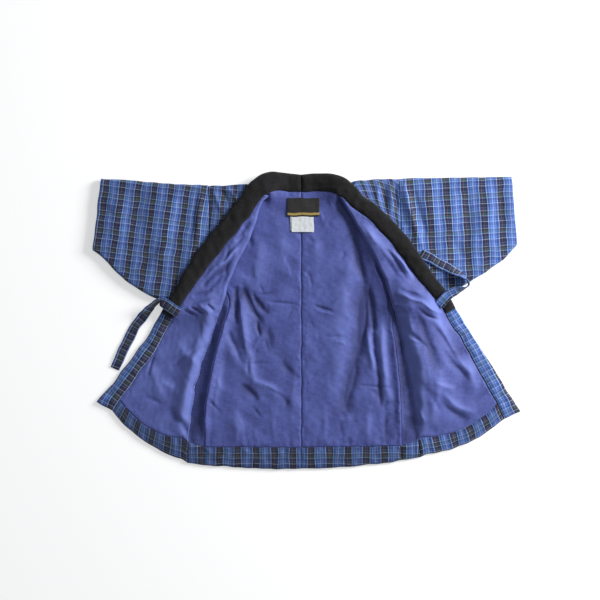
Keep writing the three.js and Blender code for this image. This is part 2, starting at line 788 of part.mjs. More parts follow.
const group = new THREE.Group();
for (const side of sides) {
  const { label, sign, front, neck, back, sleeve } = side;
  group.add(makeBack(`back_${label}`, back, side.top, sign, side.backFolds));
  group.add(makeGusset(`gusset_${label}`, back, front, sleeve, sign));
  group.add(makeFront(`front_${label}`, front, sleeve, side.frontFolds));
  group.add(makeSleeve(`sleeve_${label}`, sleeve, side.sleeveFolds));
  group.add(makeCollar(`collar_${label}`, front, neck, sleeve, sign, side.collarEnd, side.tieEnd));
  group.add(makeFacing(`front_edge_${label}`, front, neck, sleeve, sign, side.collarEnd));
  group.add(...makeHems(label, back, front, sleeve, side.hem, sign));
  group.add(makeTie(`tie_${label}`, side.tie));
}
group.add(makeLabel('neck_label', neckLabel, 0, black));
group.add(makeLabel('care_label_back', careBack, 0, white));
group.add(makeLabel('care_label', careLabel, careBack.thick + seamGap, white));

// The origin is under the middle of the whole garment
const box = new THREE.Box3().setFromObject(group, true);
const middle = box.getCenter(new THREE.Vector3());
group.position.set(-middle.x, -middle.y, -box.min.z);

export default group;
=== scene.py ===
import math

import bpy
import numpy as np
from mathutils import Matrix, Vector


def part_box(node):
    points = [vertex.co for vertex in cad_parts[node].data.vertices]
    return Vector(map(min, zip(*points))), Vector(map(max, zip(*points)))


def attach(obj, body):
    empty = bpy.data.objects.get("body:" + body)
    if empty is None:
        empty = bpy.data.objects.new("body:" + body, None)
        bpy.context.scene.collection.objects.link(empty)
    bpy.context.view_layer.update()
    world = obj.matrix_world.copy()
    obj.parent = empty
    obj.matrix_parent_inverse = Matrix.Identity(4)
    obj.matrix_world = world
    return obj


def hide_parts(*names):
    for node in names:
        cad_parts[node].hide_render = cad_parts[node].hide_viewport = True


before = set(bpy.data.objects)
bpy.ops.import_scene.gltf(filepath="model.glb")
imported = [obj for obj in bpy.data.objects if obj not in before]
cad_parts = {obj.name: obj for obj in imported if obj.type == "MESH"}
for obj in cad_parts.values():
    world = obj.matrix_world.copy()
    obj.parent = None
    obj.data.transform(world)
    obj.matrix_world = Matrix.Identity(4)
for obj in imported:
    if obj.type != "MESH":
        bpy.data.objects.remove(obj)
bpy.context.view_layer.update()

print("frame loaded")

# A child's hanten laid open on its back. Tables and cloth sizes are in millimetres, with x to the
# left sleeve, y to the neck and z up from the floor. "right" and "left" are the wearer's.
millimetre = 0.001
cloth = {
    "bodyWall": 6, "frontWall": 5.7, "gussetWall": 5, "sleeveWall": 5, "sleeveGap": 2.4,
    "hemWall": 6.5, "facingWall": 6.6, "collarWall": 7.6, "tieWidth": 18, "tieThick": 2.4,
    "seamGap": 0.3, "seamLap": 0.9, "slopeStart": 5, "slopeRun": 40, "foldTurn": 10,
    "centreX": -9.6, "hemTop": -227.9, "tieLift": 4.2, "tieReach": 27,
    "sleeveLong": 197, "gussetLong": 360, "collarLong": 450, "edgeLong": 280,   # rough, for the grids
    "shoulderFrom": 74,                     # from here out the back's rim shows the outer cloth
    "seamDip": 0.2, "seamReach": 5,         # how much thinner a wall is at its seams, and how far in
    "creaseScale": 1.6,                     # the creases' heights are multiplied by this
    "smallCreases": 60, "smallHigh": 0.9,   # short random creases on each large panel
    "gussetRidge": {"Right": 9.5, "Left": 5},   # how high the seam of back and gusset stands up
    "gussetRidgeWide": 8.5,
    "stripHigh": 8.5, "stripSlope": 0.21,   # the left back half's slope up towards the front's fold
    "gridStep": 2.1,                        # distance between grid lines
    "waver": 0.6,                           # how far outlines and seams stray from a clean line
}
sleeveHeight = 2 * cloth["sleeveWall"] + cloth["sleeveGap"]
legLow = cloth["bodyWall"] + cloth["seamGap"]
flapLow = max(sleeveHeight, legLow + cloth["frontWall"]) + cloth["seamGap"]


# a table of rows with named columns, kept as one array for each column
def table(columns, rows):
    return dict(zip(columns.split(), np.array(rows, float).T))


# Each front, down from the neck: its seam with the collar or facing, its fold or gusset seam, the
# height at which its hidden leg meets the sleeve, two bows, and the width of the band outside it
frontColumns = "at seamX seamY foldX foldY armY legBow bow band"
rightFront = table(frontColumns, [
    [0.00, -76, 228, -67, 226, 243, 20, 0, 33],
    [0.08, -93, 203, -79, 213, 218, 12, 0, 33],
    [0.18, -111, 179, -90, 180, 186, 5, 0, 33],
    [0.28, -136, 149, -101, 150, 146, 0, 0, 32],
    [0.38, -166, 112, -119, 115, 106, 0, 0, 32],
    [0.48, -196, 73, -138, 72, 67, 0, 0, 28],
    [0.56, -223, 33.5, -149, 33, 33, 0, 0, 23],
    [0.64, -247, -5, -161, -3, 20, 0, 1, 23],
    [0.72, -269, -47, -178, -47, 20, 0, 3, 25],
    [0.80, -300, -90, -191, -92, 20, 0, 7, 26],
    [0.88, -325, -126, -204, -146, 20, 0, 12, 27],
    [0.94, -337, -141, -213, -218, 20, 0, 15, 29],
    [1.00, -349, -162, -215, -255, 20, 0, 12, 33],
])
leftFront = table(frontColumns, [
    [0.00, 66, 223, 57, 225, 255.5, 28, 0, 28],
    [0.08, 82, 205, 67, 211, 226, 14, 0, 27],
    [0.18, 111, 184, 83, 184, 191, 6, 0, 27],
    [0.28, 143, 150, 102, 151, 155, 0, 0, 29],
    [0.38, 172, 114, 122, 114, 117, 0, 0, 29],
    [0.48, 200, 75, 139, 76, 74, 0, 0, 27],
    [0.56, 236, 33.5, 152, 34, 34, 0, 0, 23],
    [0.64, 258, -2, 161, -2, 20, 0, 1, 22],
    [0.72, 285, -45, 170, -45, 20, 0, 3, 22],
    [0.80, 310, -90, 179, -88, 20, 0, 7, 25],
    [0.88, 330, -126, 187, -142, 20, 0, 12, 27],
    [0.94, 342, -149, 199, -215, 20, 0, 15, 29],
    [1.00, 355, -176, 206, -244, 20, 0, 12, 33],
])

# The collar's seam round the back of the neck, from the centre to where each front begins
neckColumns = "at x y band rest"
rightNeck = table(neckColumns, [
    [-0.24, -9.2, 232.7, 30, 0],
    [-0.16, -33, 233.6, 32, 0],
    [-0.10, -51, 235.6, 33, 5],
    [-0.05, -65, 234.5, 33, 12],
    [0.00, -76, 228, 33, flapLow],
])
leftNeck = table(neckColumns, [
    [-0.24, -10.0, 232.7, 30, 0],
    [-0.16, 10, 233.8, 31, 0],
    [-0.10, 33, 234.5, 31, 5],
    [-0.05, 51, 232, 30, 12],
    [0.00, 66, 223, 28, flapLow],
])

# Each back half's outer side, from the shoulder down, and its upper edge out from the neck
rightBack = table("at x y", [
    [0.00, -175.9, 243], [0.12, -174.7, 190], [0.24, -173.4, 137], [0.31, -169, 106],
    [0.38, -157, 74], [0.46, -139, 38], [0.52, -143, 14], [0.60, -155, -26],
    [0.72, -169, -86], [0.84, -180, -142], [0.94, -184, -192], [1.00, -185, -227],
])
leftBack = table("at x y", [
    [0.00, 164.9, 255.5], [0.12, 168.2, 193], [0.24, 171.1, 137], [0.31, 171, 106],
    [0.38, 161, 74], [0.46, 147.5, 38], [0.52, 151, 14], [0.60, 157, -26],
    [0.72, 164.5, -86], [0.84, 169, -142], [0.94, 171, -192], [1.00, 172, -225],
])
rightTop = table("x y", [
    [-9.6, 232.2], [-33, 233], [-51, 234.6], [-65, 233.4],
    [-78, 238], [-92, 243], [-130, 243.6], [-176, 243],
])
leftTop = table("x y", [
    [-9.6, 232.2], [10, 233.2], [33, 233.6], [51, 231],
    [66, 240], [82, 250], [120, 255], [165, 255.5],
])

# The sleeves' top fold and underarm seam from cuff to armhole, and the hem's lower edge
rightSleeve = table("at topX topY lowX lowY", [
    [0.00, -369.5, 256, -384, 127],
    [0.10, -352, 255, -361, 109],
    [0.22, -326, 253.5, -337, 83],
    [0.36, -296, 251, -311, 62.5],
    [0.52, -262, 248, -276, 43],
    [0.70, -228, 246, -237, 34],
    [0.86, -199, 245, -200, 31],
    [1.00, -176.6, 244.6, -172, 31],
])
leftSleeve = table("at topX topY lowX lowY", [
    [0.00, 368, 259.4, 378.5, 137],
    [0.10, 350, 259.3, 355, 112],
    [0.22, 327, 259, 326, 91],
    [0.36, 300, 258.6, 293, 70],
    [0.52, 266, 258, 258, 51.5],
    [0.70, 228, 257.5, 226, 40],
    [0.86, 193, 257, 197, 33.5],
    [1.00, 165.5, 256, 177, 32.5],
])
rightHem = table("x y", [
    [-9.6, -265.9], [-72, -265.6], [-112, -264.2], [-152, -261.4], [-185, -258.7], [-215, -255],
])
leftHem = table("x y", [
    [-9.6, -265.9], [43, -264.4], [105, -258.7], [148, -254.2], [172, -250], [206, -244],
])

# The ties' middle lines: place, height above the floor, and how far the strip leans on its edge
tieColumns = "x y z lean"
rightTiePath = table(tieColumns, [
    [-228, 15, 18.6, -12], [-238, 21, 20.6, -10], [-248, 28, 22, -6], [-257, 34, 22.9, -20],
    [-265, 37, 22.5, -62], [-274, 31, 16, -70], [-285, 19, 9.5, -40], [-298, 4, 3.5, -8],
    [-309, -11, 1.7, 0], [-321, -34, 1.5, 0], [-333, -59, 2.4, 0], [-344.5, -86, 1.5, 0],
])
leftTiePath = table(tieColumns, [
    [236, 28, 19, 14], [244, 37, 22, 10], [253, 46, 23.4, 10], [264, 53, 23.2, 30],
    [275, 57, 22.6, 60], [285, 60.5, 23, 84], [291, 66.5, 23.6, 90], [288, 73, 23.6, 88],
    [280, 80, 23, 72], [268, 88, 20, 40], [256, 94, 16.2, 8], [229, 109, 14.4, 0],
    [205, 121.5, 14.3, 0],
])

# Creases: a line from one place to another, how far its middle bows aside, its half width, how much
# wider one flank is than the other, and its height, which is below zero in a trough
creaseColumns = "x y toX toY bow wide lean high"
creases = {
    "backRight": table(creaseColumns, [
        [-152, -10, -104, -104, 0, 8, 0.3, 2.4],
        [-126.6, 62, -122.5, -8, 2, 4.2, 0.1, -3.6],
        [-119, 42, -103.8, -68, 3, 7.5, -0.2, 3.4],
        [-104, -50, -94, -116, 2, 9, 0.2, 2.8],
        [-98, -106, -36, -146, -6, 7.5, 0.3, 3.4],
        [-74, -118, -32, -150, -4, 5, 0.2, -2.6],
        [-113.5, 60, -80, -4, 3, 6, 0.2, -3.6],
        [-97, 52, -68, 12, 4, 5, 0.1, -3.0],
        [-90, 2, -82, -30, 1, 3.4, 0, -2.2],
        [-141, -18, -112, -88, 0, 6, 0.2, -2.6],
        [-68, -8, -63, -52, 3, 7, 0, -1.8],
        [-70, 35.3, -18, 30.4, 0, 2.4, 0, -1.4],
        [-90, 46, -57, 51.4, 0, 2.4, 0, -1.3],
        [-113, -76.3, -61, -75.8, 0, 2, 0, -0.9],
        [-121, -114, -88, -145, -5, 7, 0.2, -2.8],
        [-46, -70, -13, -104, 3, 8, 0.3, -1.9],
        [-107, 180, -97, 130, 3, 6, 0, -2.2],
        [-80, 150, -91, 54, 3, 12, 0, 1.8],
        [-34, 190, -44, 80, 4, 14, 0, 1.2],
        [-128, -150, -124, -222, 0, 9, 0.2, 1.6],
        [-150, -60, -166, -190, 4, 7, 0, 1.8],
        [-60, -165, -56, -224, 2, 6, 0, 1.1],
        [-22, -60, -26, -190, 0, 7, 0, 0.9],
    ]),
    "backLeft": table(creaseColumns, [
        [13, 27.7, 48, 17.3, 0, 3, 0.2, -1.8],
        [12, 22, 50, 11, 0, 3, 0, 0.9],
        [102.5, 72, 92.6, -66, -3, 11, 0.2, -4.4],
        [94, -48, 66, -178, 2, 12, 0.2, -3.9],
        [108.8, -12, 122, -92, 2, 6, 0, 3.2],
        [110.6, 66, 120.4, -46, -4, 4.4, 0.1, -3.8],
        [119.6, -30, 134, -160, -2, 4.4, 0.1, -2.8],
        [135.8, 12, 150, -146, 6, 9, 0.2, 4.0],
        [84, 170, 52, -150, 5, 19, 0, 1.9],
        [56, 226, 92, 158, 2, 7, 0.2, -3.2],
        [88, 168, 106, 64, 4, 7, 0.2, -3.8],
        [104, 186, 128, 100, 2, 10, 0, 2.6],
        [29, -26.8, 72, -27.7, 0, 2, 0, -1.0],
        [92, -115, 151, -119, 0, 2.2, 0, -1.0],
        [141, -158, 143, -226, 0, 5, 0, -1.6],
        [112, -150, 108, -222, 0, 6, 0, 1.2],
        [34, -150, 36, -224, 2, 6, 0, 0.9],
        [14, 160, 24, 60, 2, 11, 0, 1.0],
    ]),
    "frontRight": table(creaseColumns, [
        [-236, -36, -186, -92, 0, 11, 0.2, 2.4],
        [-285, -70, -258, -140, 0, 11, 0, 2.0],
        [-200, -84, -236, -200, 0, 14, 0, 2.0],
        [-112, 168, -150, 96, 0, 10, 0.2, 2.0],
        [-166, 60, -186, -20, 0, 11, 0, 1.8],
        [-179, 31, -165, 18, 0, 2.6, 0, -2.2],
        [-210, 26.5, -184, 12.5, 0, 3, 0, -2.2],
        [-195, 33, -172, 12, 0, 4, 0, 1.4],
        [-211, 26.5, -165, 42, 0, 2.6, 0, -1.5],
        [-247, -82, -190, -45, 2, 4, 0.2, -1.8],
        [-272, -50, -286, -100, 0, 3, 0, -1.5],
        [-248, -150, -207, -198, 3, 7, 0.2, -2.2],
        [-232, -168, -214, -182, 0, 4, 0, 1.6],
        [-226, -184, -208, -206, 0, 4, 0, -1.6],
        [-130, 140, -152, 62, 2, 6, 0, -1.4],
        [-262, -108, -240, -122, 0, 5, 0, 1.1],
        [-166, 82, -128, 122, 3, 4, 0.2, -2.5],
        [-160, 98, -124, 134, 3, 4.6, 0, 2.0],
        [-146, 118, -112, 156, 2, 4, 0.2, -2.3],
        [-188, 62, -152, 92, -3, 4.2, 0.2, -2.4],
        [-180, 76, -148, 106, -3, 5, 0, 2.0],
        [-128, 146, -102, 180, 2, 4, 0, -2.0],
        [-204, 46, -170, 58, 3, 4, 0.2, -2.2],
        [-154, 100, -138, 134, 2, 3.6, 0, -1.5],
        [-176, 56, -152, 82, 2, 3.4, 0, -1.6],
        [-222, 20, -196, 8, 0, 3.4, 0, -1.6],
    ]),
    "frontLeft": table(creaseColumns, [
        [216, 52, 268, -56, 2, 11, 0.2, 3.4],
        [190, 40, 240, -90, 3, 10, 0.2, -3.0],
        [178, 18, 216, -150, -4, 13, 0.2, 3.2],
        [160, 50, 216, 31, 0, 4, 0, 2.2],
        [166, 56, 216, 40, 0, 3.4, 0, -2.4],
        [240, -100, 222, -190, 0, 11, 0, 2.0],
        [282, -60, 306, -128, 0, 9, 0, 2.0],
        [246, -52, 296, -110, 2, 5.5, 0.3, -1.4],
        [270, -60, 300, -100, 2, 6, 0, 1.6],
        [238, -141, 294, -177, 5, 5.1, 0.3, -1.9],
        [244, -130, 300, -166, 5, 6, 0, 2.2],
        [224, -4, 268, -70, -4, 5, 0.2, -1.8],
        [166, 4, 234, -56, 6, 5.4, 0.25, -1.9],
        [200, -108, 262, -146, 6, 7, 0.2, -1.3],
        [150, 128, 192, 70, -4, 5, 0.2, 2.4],
        [140, 130, 178, 76, -4, 4, 0.2, -2.2],
        [204, 34, 246, 14, 3, 4, 0.2, 2.2],
        [198, 24, 240, 2, 3, 3.4, 0.2, -2.2],
        [228, -108, 268, -118, 4, 6, 0.2, 1.6],
        [222, -130, 242, -164, 0, 6, 0, -1.8],
        [100, 176, 150, 104, 0, 9, 0, 2.2],
        [120, 150, 172, 70, 2, 6, 0, -1.8],
        [236, 14, 282, -74, 0, 7, 0, -2.0],
        [204, -120, 210, -210, 0, 8, 0, 1.4],
    ]),
    "sleeveRight": table(creaseColumns, [
        [-186, 240, -198, 120, 2, 7, 0.1, 2.2],
        [-196, 236, -206, 140, 0, 5, 0, -1.4],
        [-226, 240, -262, 104, 3, 13, 0.2, 1.6],
        [-330, 240, -340, 112, 0, 13, 0, 1.3],
        [-290, 244, -296, 150, 4, 12, 0, -1.0],
        [-248, 150, -300, 92, 2, 9, 0.2, -1.3],
        [-376, 214, -340, 190, 0, 8, 0, -0.9],
    ]),
    "sleeveLeft": table(creaseColumns, [
        [173, 252, 206, 136, 2, 7, 0.2, 3.8],
        [166, 240, 176, 168, 0, 4, 0, -2.2],
        [214, 248, 238, 146, 2, 10, 0, 1.8],
        [192, 240, 216, 150, 0, 5, 0, -1.8],
        [330, 244, 322, 116, 0, 14, 0, 1.5],
        [270, 240, 250, 76, 3, 12, 0, 1.3],
        [296, 236, 292, 120, 2, 10, 0, -1.1],
        [250, 170, 300, 96, 3, 9, 0, -1.2],
        [348, 236, 356, 150, 0, 9, 0, -0.9],
    ]),
    "shoulderRight": table(creaseColumns, [
        [-168, 238, -150, 190, 0, 4, 0, 1.8],
        [-156, 240, -136, 206, 0, 4, 0, -1.4],
        [-144, 242, -120, 214, 0, 4, 0, 1.4],
    ]),
    "shoulderLeft": table(creaseColumns, [
        [158, 250, 164, 196, 0, 4, 0.1, -2.6],
        [150, 252, 154, 190, 0, 4, 0, 2.2],
        [140, 252, 142, 196, 0, 3.4, 0, -2.0],
        [130, 252, 128, 206, 0, 4, 0, 1.8],
    ]),
}

# Billows lift the whole wall, both its faces, along a crest
billows = {
    "frontLeft": table(creaseColumns, [
        [160, 88, 226, -202, -20, 34, -0.36, 21],
        [214, 62, 276, -30, -6, 22, -0.2, 5],
        [96, 182, 160, 92, 0, 16, -0.2, 3],
    ]),
    "frontRight": table(creaseColumns, [
        [-166, 30, -232, -190, 8, 38, -0.4, 5],
        [-118, 160, -176, 60, 0, 18, -0.2, 3],
    ]),
}
print("tables read")


def mix(start, end, share):
    return start + (end - start) * share


# smooth step from 0 to 1
def ease(share):
    t = np.clip(share, 0, 1)
    return t * t * (3 - 2 * t)


# value of a column at any place between the rows: a cubic through each pair of rows, whose slopes
# are those of the line through the rows before and after
def read(rows, column, place, key="at"):
    keys, values = rows[key], rows[column]
    rising = 1 if keys[-1] > keys[0] else -1
    last = len(keys) - 1
    count = np.arange(last + 1)
    before, after = np.maximum(count - 1, 0), np.minimum(count + 1, last)
    slope = (values[after] - values[before]) / (keys[after] - keys[before])
    place = np.asarray(place, float)
    row = np.clip(np.searchsorted(keys * rising, place * rising) - 1, 0, last - 1)
    step = keys[row + 1] - keys[row]
    t = np.clip((place - keys[row]) / step, 0, 1)
    ends = values[row] * (2 * t**3 - 3 * t**2 + 1) + values[row + 1] * (3 * t**2 - 2 * t**3)
    return ends + step * (slope[row] * (t**3 - 2 * t**2 + t) + slope[row + 1] * (t**3 - t**2))


# height that creases add: along each line the sine of the share, to the power 0.7, and across it a
# bell of the distance from the bowed line over the half width of that flank
def relief(rows, x, y, scale=cloth["creaseScale"]):
    height = np.zeros_like(x)
    for line in zip(*(rows[column] for column in creaseColumns.split())):
        fromX, fromY, toX, toY, bow, wide, lean, high = line
        alongX, alongY = toX - fromX, toY - fromY
        length = math.hypot(alongX, alongY)
        share = ((x - fromX) * alongX + (y - fromY) * alongY) / length**2
        inside = np.clip(share, 0, 1)
        aside = ((x - fromX) * alongY - (y - fromY) * alongX) / length - bow * 4 * inside * (1 - inside)
        flank = wide * (1 + lean * np.sign(aside))
        height += high * np.sin(np.pi * inside) ** 0.7 * np.exp(-np.abs(aside / flank) ** 1.7)
    return height * scale


# short seeded creases all over a panel, as ridges and troughs that lie mostly along the cloth
def smallRelief(x, y, seed):
    random = np.random.default_rng(seed)
    count = cloth["smallCreases"]
    startX, startY = random.uniform(x.min(), x.max(), count), random.uniform(y.min(), y.max(), count)
    turn = random.normal(-np.pi / 2, 0.7, count)
    length = random.uniform(12, 42, count)
    rows = dict(x=startX, y=startY, toX=startX + length * np.cos(turn), toY=startY + length * np.sin(turn),
                bow=random.normal(0, 2, count), wide=random.uniform(2.4, 5, count),
                lean=random.uniform(-0.3, 0.3, count), high=random.normal(0, cloth["smallHigh"], count))
    return relief(rows, x, y, 1)


# soft random swell: plane waves of about one length, with seeded directions and phases
def softNoise(x, y, size, seed, waves=11):
    random = np.random.default_rng(seed)
    total = np.zeros_like(x)
    for turn, phase, scale in random.random((waves, 3)) * [2 * np.pi, 2 * np.pi, 0.9]:
        pitch = 2 * np.pi / (size * (0.6 + scale))
        total += np.sin(pitch * (x * np.cos(turn) + y * np.sin(turn)) + phase)
    return total / math.sqrt(waves)


# height of what lies under a front or collar: the sleeve, then a slope to the floor below it
def restHeight(sleeve, x, y):
    below = read(sleeve, "lowY", x, "lowX") - y
    return flapLow * (1 - ease((below - cloth["slopeStart"]) / cloth["slopeRun"]))


def armholeX(sleeve, y):
    lowX, lowY, topX, topY = (sleeve[key][-1] for key in ("lowX", "lowY", "topX", "topY"))
    return mix(lowX, topX, (y - lowY) / (topY - lowY))


# shares of each width: lines close to both edges for the rounded rim, and even lines between
rimLines = np.array([0, 0.3, 0.9, 1.8, 3.0])
rimFaces = len(rimLines) - 1


def spacedShares(width, count, rim=rimLines):
    width = np.atleast_1d(np.asarray(width, float))[:, None]
    first = rim * np.minimum(1, 0.3 * width / rim[-1]) / width
    start = first[:, -1:]
    inner = start + (1 - 2 * start) * np.linspace(0, 1, count + 2)[1:-1]
    return np.concatenate([first, inner, 1 - first[:, ::-1]], axis=1)


def lineCount(length):
    return max(int(length / cloth["gridStep"]), 3)


# distance along the grid's lines from each point to the nearest of the four edges
def edgeDistance(points, ways=(0, 1)):
    nearest = np.full(points.shape[:2], np.inf)
    for axis in ways:
        steps = np.linalg.norm(np.diff(points, axis=axis), axis=2)
        fromStart = np.cumsum(np.insert(steps, 0, 0, axis=axis), axis=axis)
        total = np.take(fromStart, [-1], axis=axis)
        nearest = np.minimum(nearest, np.minimum(fromStart, total - fromStart))
    return nearest


# share of the thickness left near an edge: a quarter circle of the given radius
def rounded(distance, radius, least=0.12):
    near = 1 - np.minimum(distance / radius, 1)
    return least + (1 - least) * np.sqrt(1 - near**2)


def grid(*parts):
    return np.stack(np.broadcast_arrays(*parts), axis=-1)


# faces of a grid of points, and of the strips that close two such grids into one wall
def wallFaces(rows, columns):
    index = np.arange(rows * columns).reshape(rows, columns)
    sheet = grid(index[:-1, :-1], index[1:, :-1], index[1:, 1:], index[:-1, 1:]).reshape(-1, 4)
    below = index + rows * columns
    under = sheet[:, ::-1] + rows * columns
    strips = []
    for edge, other in ((index[:, 0], below[:, 0]), (index[-1], below[-1]),
                        (index[::-1, -1], below[::-1, -1]), (index[0, ::-1], below[0, ::-1])):
        strips.append(grid(edge[:-1], other[:-1], other[1:], edge[1:]))
    return sheet, under, np.concatenate(strips)


# how far the tables' places are from the frame's, taken from the middle of the neck label
labelMiddle = (-5.5, 204.5)
shift = [sum(ends) / 2 / millimetre - place
         for ends, place in zip(zip(*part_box("neck_label")), labelMiddle)]


# small shifts of the whole cloth that every piece shares, so that the seams stay closed: a soft swell,
# and the kinks, each a bell of the distance from its middle
kinks = table("x y reach moveX", [
    [-177, -37, 11, 2.6], [-200, -117, 9, -3.2], [-196, -136, 9, 2.4], [-186, -76, 12, -1.6],
    [-160, 4, 10, -1.8], [156, 8, 10, 1.6], [176, -62, 12, -1.6],
])


def waver(points):
    x, y = points[:, 0], points[:, 1]
    moved = points.copy()
    moved[:, 0] += cloth["waver"] * softNoise(x, y, 38, 901)
    moved[:, 1] += cloth["waver"] * softNoise(x, y, 38, 902)
    for kinkX, kinkY, reach, moveX in zip(*(kinks[key] for key in ("x", "y", "reach", "moveX"))):
        moved[:, 0] += moveX * np.exp(-((x - kinkX) ** 2 + (y - kinkY) ** 2) / reach**2)
    return moved


# a mesh object from points in millimetres, faces in groups with a material each, and places on the
# cloth; the faces are turned over where the volume they close is negative
def makeObject(name, points, groups, materials, places, paintedLight):
    points = waver(points)
    faces = np.concatenate(groups)
    a, b, c, d = (points[faces[:, corner]] for corner in range(4))
    volume = np.einsum("ij,ij->", a, np.cross(b, c)) + np.einsum("ij,ij->", a, np.cross(c, d))
    if volume < 0:
        faces = faces[:, ::-1]
    mesh = bpy.data.meshes.new(name)
    mesh.vertices.add(len(points))
    mesh.vertices.foreach_set("co", ((points + [*shift, 0]) * millimetre).astype(np.float32).ravel())
    mesh.loops.add(faces.size)
    mesh.loops.foreach_set("vertex_index", faces.astype(np.int32).ravel())
    mesh.polygons.add(len(faces))
    mesh.polygons.foreach_set("loop_start", np.arange(0, faces.size, 4, dtype=np.int32))
    numbers = np.repeat(np.arange(len(groups)), [len(group) for group in groups])
    slots = [materials.index(material) if material in materials[:order] else order
             for order, material in enumerate(materials)]
    mesh.polygons.foreach_set("material_index", np.array(slots)[numbers].astype(np.int32))
    mesh.polygons.foreach_set("use_smooth", np.ones(len(faces), bool))
    for material in materials:
        mesh.materials.append(material)
    mesh.update(calc_edges=True)
    layer = mesh.uv_layers.new(name="cloth")
    layer.data.foreach_set("uv", (places[faces.ravel()] * millimetre).astype(np.float32).ravel())
    # each point's painted light and shade, which the lining and the outer cloth read
    paintedLightTone = mesh.attributes.new("paintedLight", "FLOAT", "POINT")
    paintedLightTone.data.foreach_set("value", paintedLight.astype(np.float32))
    mesh.validate()
    piece = bpy.data.objects.new(name, mesh)
    bpy.context.scene.collection.objects.link(piece)
    return piece


# what is the same for every piece of cloth: its body, and hiding the frame's node that it stands for
def declare(piece, node):
    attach(piece, "root")
    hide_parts(node)
    return piece


# a wall that lies on something: the lower face is the base, lifted at its rounded edge, and the upper
# face is a thickness above it, thinner at its seams, with its creases and soft swell; the faces that
# are marked as turned show the outer cloth over the rim
def lyingWall(name, x, y, base, thick, height, seed, materials, places, quilt=0.5, lift=0, fade=0,
              turned=None):
    distance = edgeDistance(grid(x, y, base))
    base = base + lift
    wall = thick * (1 - cloth["seamDip"] * np.exp(-distance / cloth["seamReach"]))
    lost = (1 - rounded(distance, thick / 2)) * wall
    swell = quilt * softNoise(x, y, 42, seed) + 0.3 * quilt * softNoise(x, y, 15, seed + 1)
    pucker = 0.7 * softNoise(x, y, 9, seed + 2) * np.exp(-distance / 6)
    raised = (height + swell + pucker) * ease(distance / 7)
    lower = base + 0.4 * lost + 0.25 * np.abs(height) * ease(distance / 9)
    upper = np.maximum(base + wall - 0.6 * lost + raised, lower + 0.12 * thick)
    points = np.concatenate([grid(x, y, upper).reshape(-1, 3), grid(x, y, lower).reshape(-1, 3)])
    sheet, under, strips = wallFaces(*x.shape)
    # painted light and shade: raised parts lighter and troughs darker, plus the piece's own value, painted
    # lighter above 0 and darker below 0
    paintedLight = np.concatenate([np.clip(raised / 3 + fade, -1, 1).ravel(), np.full(x.size, fade)])
    both = np.concatenate([places.reshape(-1, 2)] * 2)
    if turned is None:
        return makeObject(name, points, [sheet, strips, under], materials, both, paintedLight)
    rim = turned[1:, 1:].ravel()
    return makeObject(name, points, [sheet[~rim], sheet[rim], strips, under],
                      [materials[0], materials[2], materials[2], materials[2]], both, paintedLight)


# node helpers
def toLinear(red, green, blue):
    levels = np.array([red, green, blue]) / 255
    linear = np.where(levels <= 0.04045, levels / 12.92, ((levels + 0.055) / 1.055) ** 2.4)
    return (*(float(level) for level in linear), 1.0)


def addNode(tree, kind, inputs=(), **settings):
    node = tree.nodes.new(kind)
    for key, value in settings.items():
        setattr(node, key, value)
    for key, value in dict(inputs).items():
        if isinstance(value, bpy.types.NodeSocket):
            tree.links.new(value, node.inputs[key])
        else:
            node.inputs[key].default_value = value
    return node


def calc(tree, operation, first, second=0.0, third=0.0):
    return addNode(tree, "ShaderNodeMath", {0: first, 1: second, 2: third}, operation=operation).outputs[0]


def blend(tree, factor, first, second, mode="MIX"):
    node = addNode(tree, "ShaderNodeMix", data_type="RGBA", blend_type=mode)
    for key, value in ((0, factor), (6, first), (7, second)):
        if isinstance(value, bpy.types.NodeSocket):
            tree.links.new(value, node.inputs[key])
        else:
            node.inputs[key].default_value = value
    return node.outputs[2]


def grey(tree, level):
    return addNode(tree, "ShaderNodeCombineXYZ", {0: level, 1: level, 2: level}).outputs[0]

def spread(tree, value, low, high, start=0.0, end=1.0):
    return addNode(tree, "ShaderNodeMapRange", {0: value, 1: low, 2: high, 3: start, 4: end}).outputs[0]

# reads each point's painted light and shade
def paintedLightOf(tree):
    return addNode(tree, "ShaderNodeAttribute", attribute_name="paintedLight").outputs["Fac"]

def setSockets(shader, values):
    for name, value in values.items():
        shader.inputs[name].default_value = value

def newGroup(name, inputs, outputs):
    tree = bpy.data.node_groups.new(name, "ShaderNodeTree")
    for label, kind, value in inputs:
        socket = tree.interface.new_socket(label, in_out="INPUT", socket_type=kind)
        if value is not None:
            socket.default_value = value
    for label, kind in outputs:
        tree.interface.new_socket(label, in_out="OUTPUT", socket_type=kind)
    return tree, tree.nodes.new("NodeGroupInput").outputs, tree.nodes.new("NodeGroupOutput").inputs


# woven threads: over and under as the product of two sines of the thread pitch, broken up by noise
# that is stretched along each way of the cloth
def makeWeaveGroup():
    tree, given, result = newGroup("wovenThreads", [
        ("Place", "NodeSocketVector", None), ("Pitch", "NodeSocketFloat", 0.0009),
    ], [("Height", "NodeSocketFloat"), ("Slub", "NodeSocketFloat")])
    split = addNode(tree, "ShaderNodeSeparateXYZ", {0: given["Place"]})
    turn = [calc(tree, "SINE", calc(tree, "DIVIDE", calc(tree, "MULTIPLY", split.outputs[axis], math.pi),
                                    given["Pitch"])) for axis in range(2)]
    over = calc(tree, "MULTIPLY", turn[0], turn[1])
    slubs = []
    for scale in ((900, 45, 1), (45, 900, 1)):
        stretched = addNode(tree, "ShaderNodeMapping", {"Vector": given["Place"], "Scale": scale})
        noise = addNode(tree, "ShaderNodeTexNoise", {"Vector": stretched.outputs[0], "Scale": 1.0,
                                                     "Detail": 2.0}, noise_dimensions="2D")
        slubs.append(noise.outputs[0])
    slub = calc(tree, "MULTIPLY", calc(tree, "ADD", slubs[0], slubs[1]), 0.5)
    tree.links.new(calc(tree, "ADD", calc(tree, "MULTIPLY", over, 0.35), slub), result["Height"])
    tree.links.new(slub, result["Slub"])
    return tree


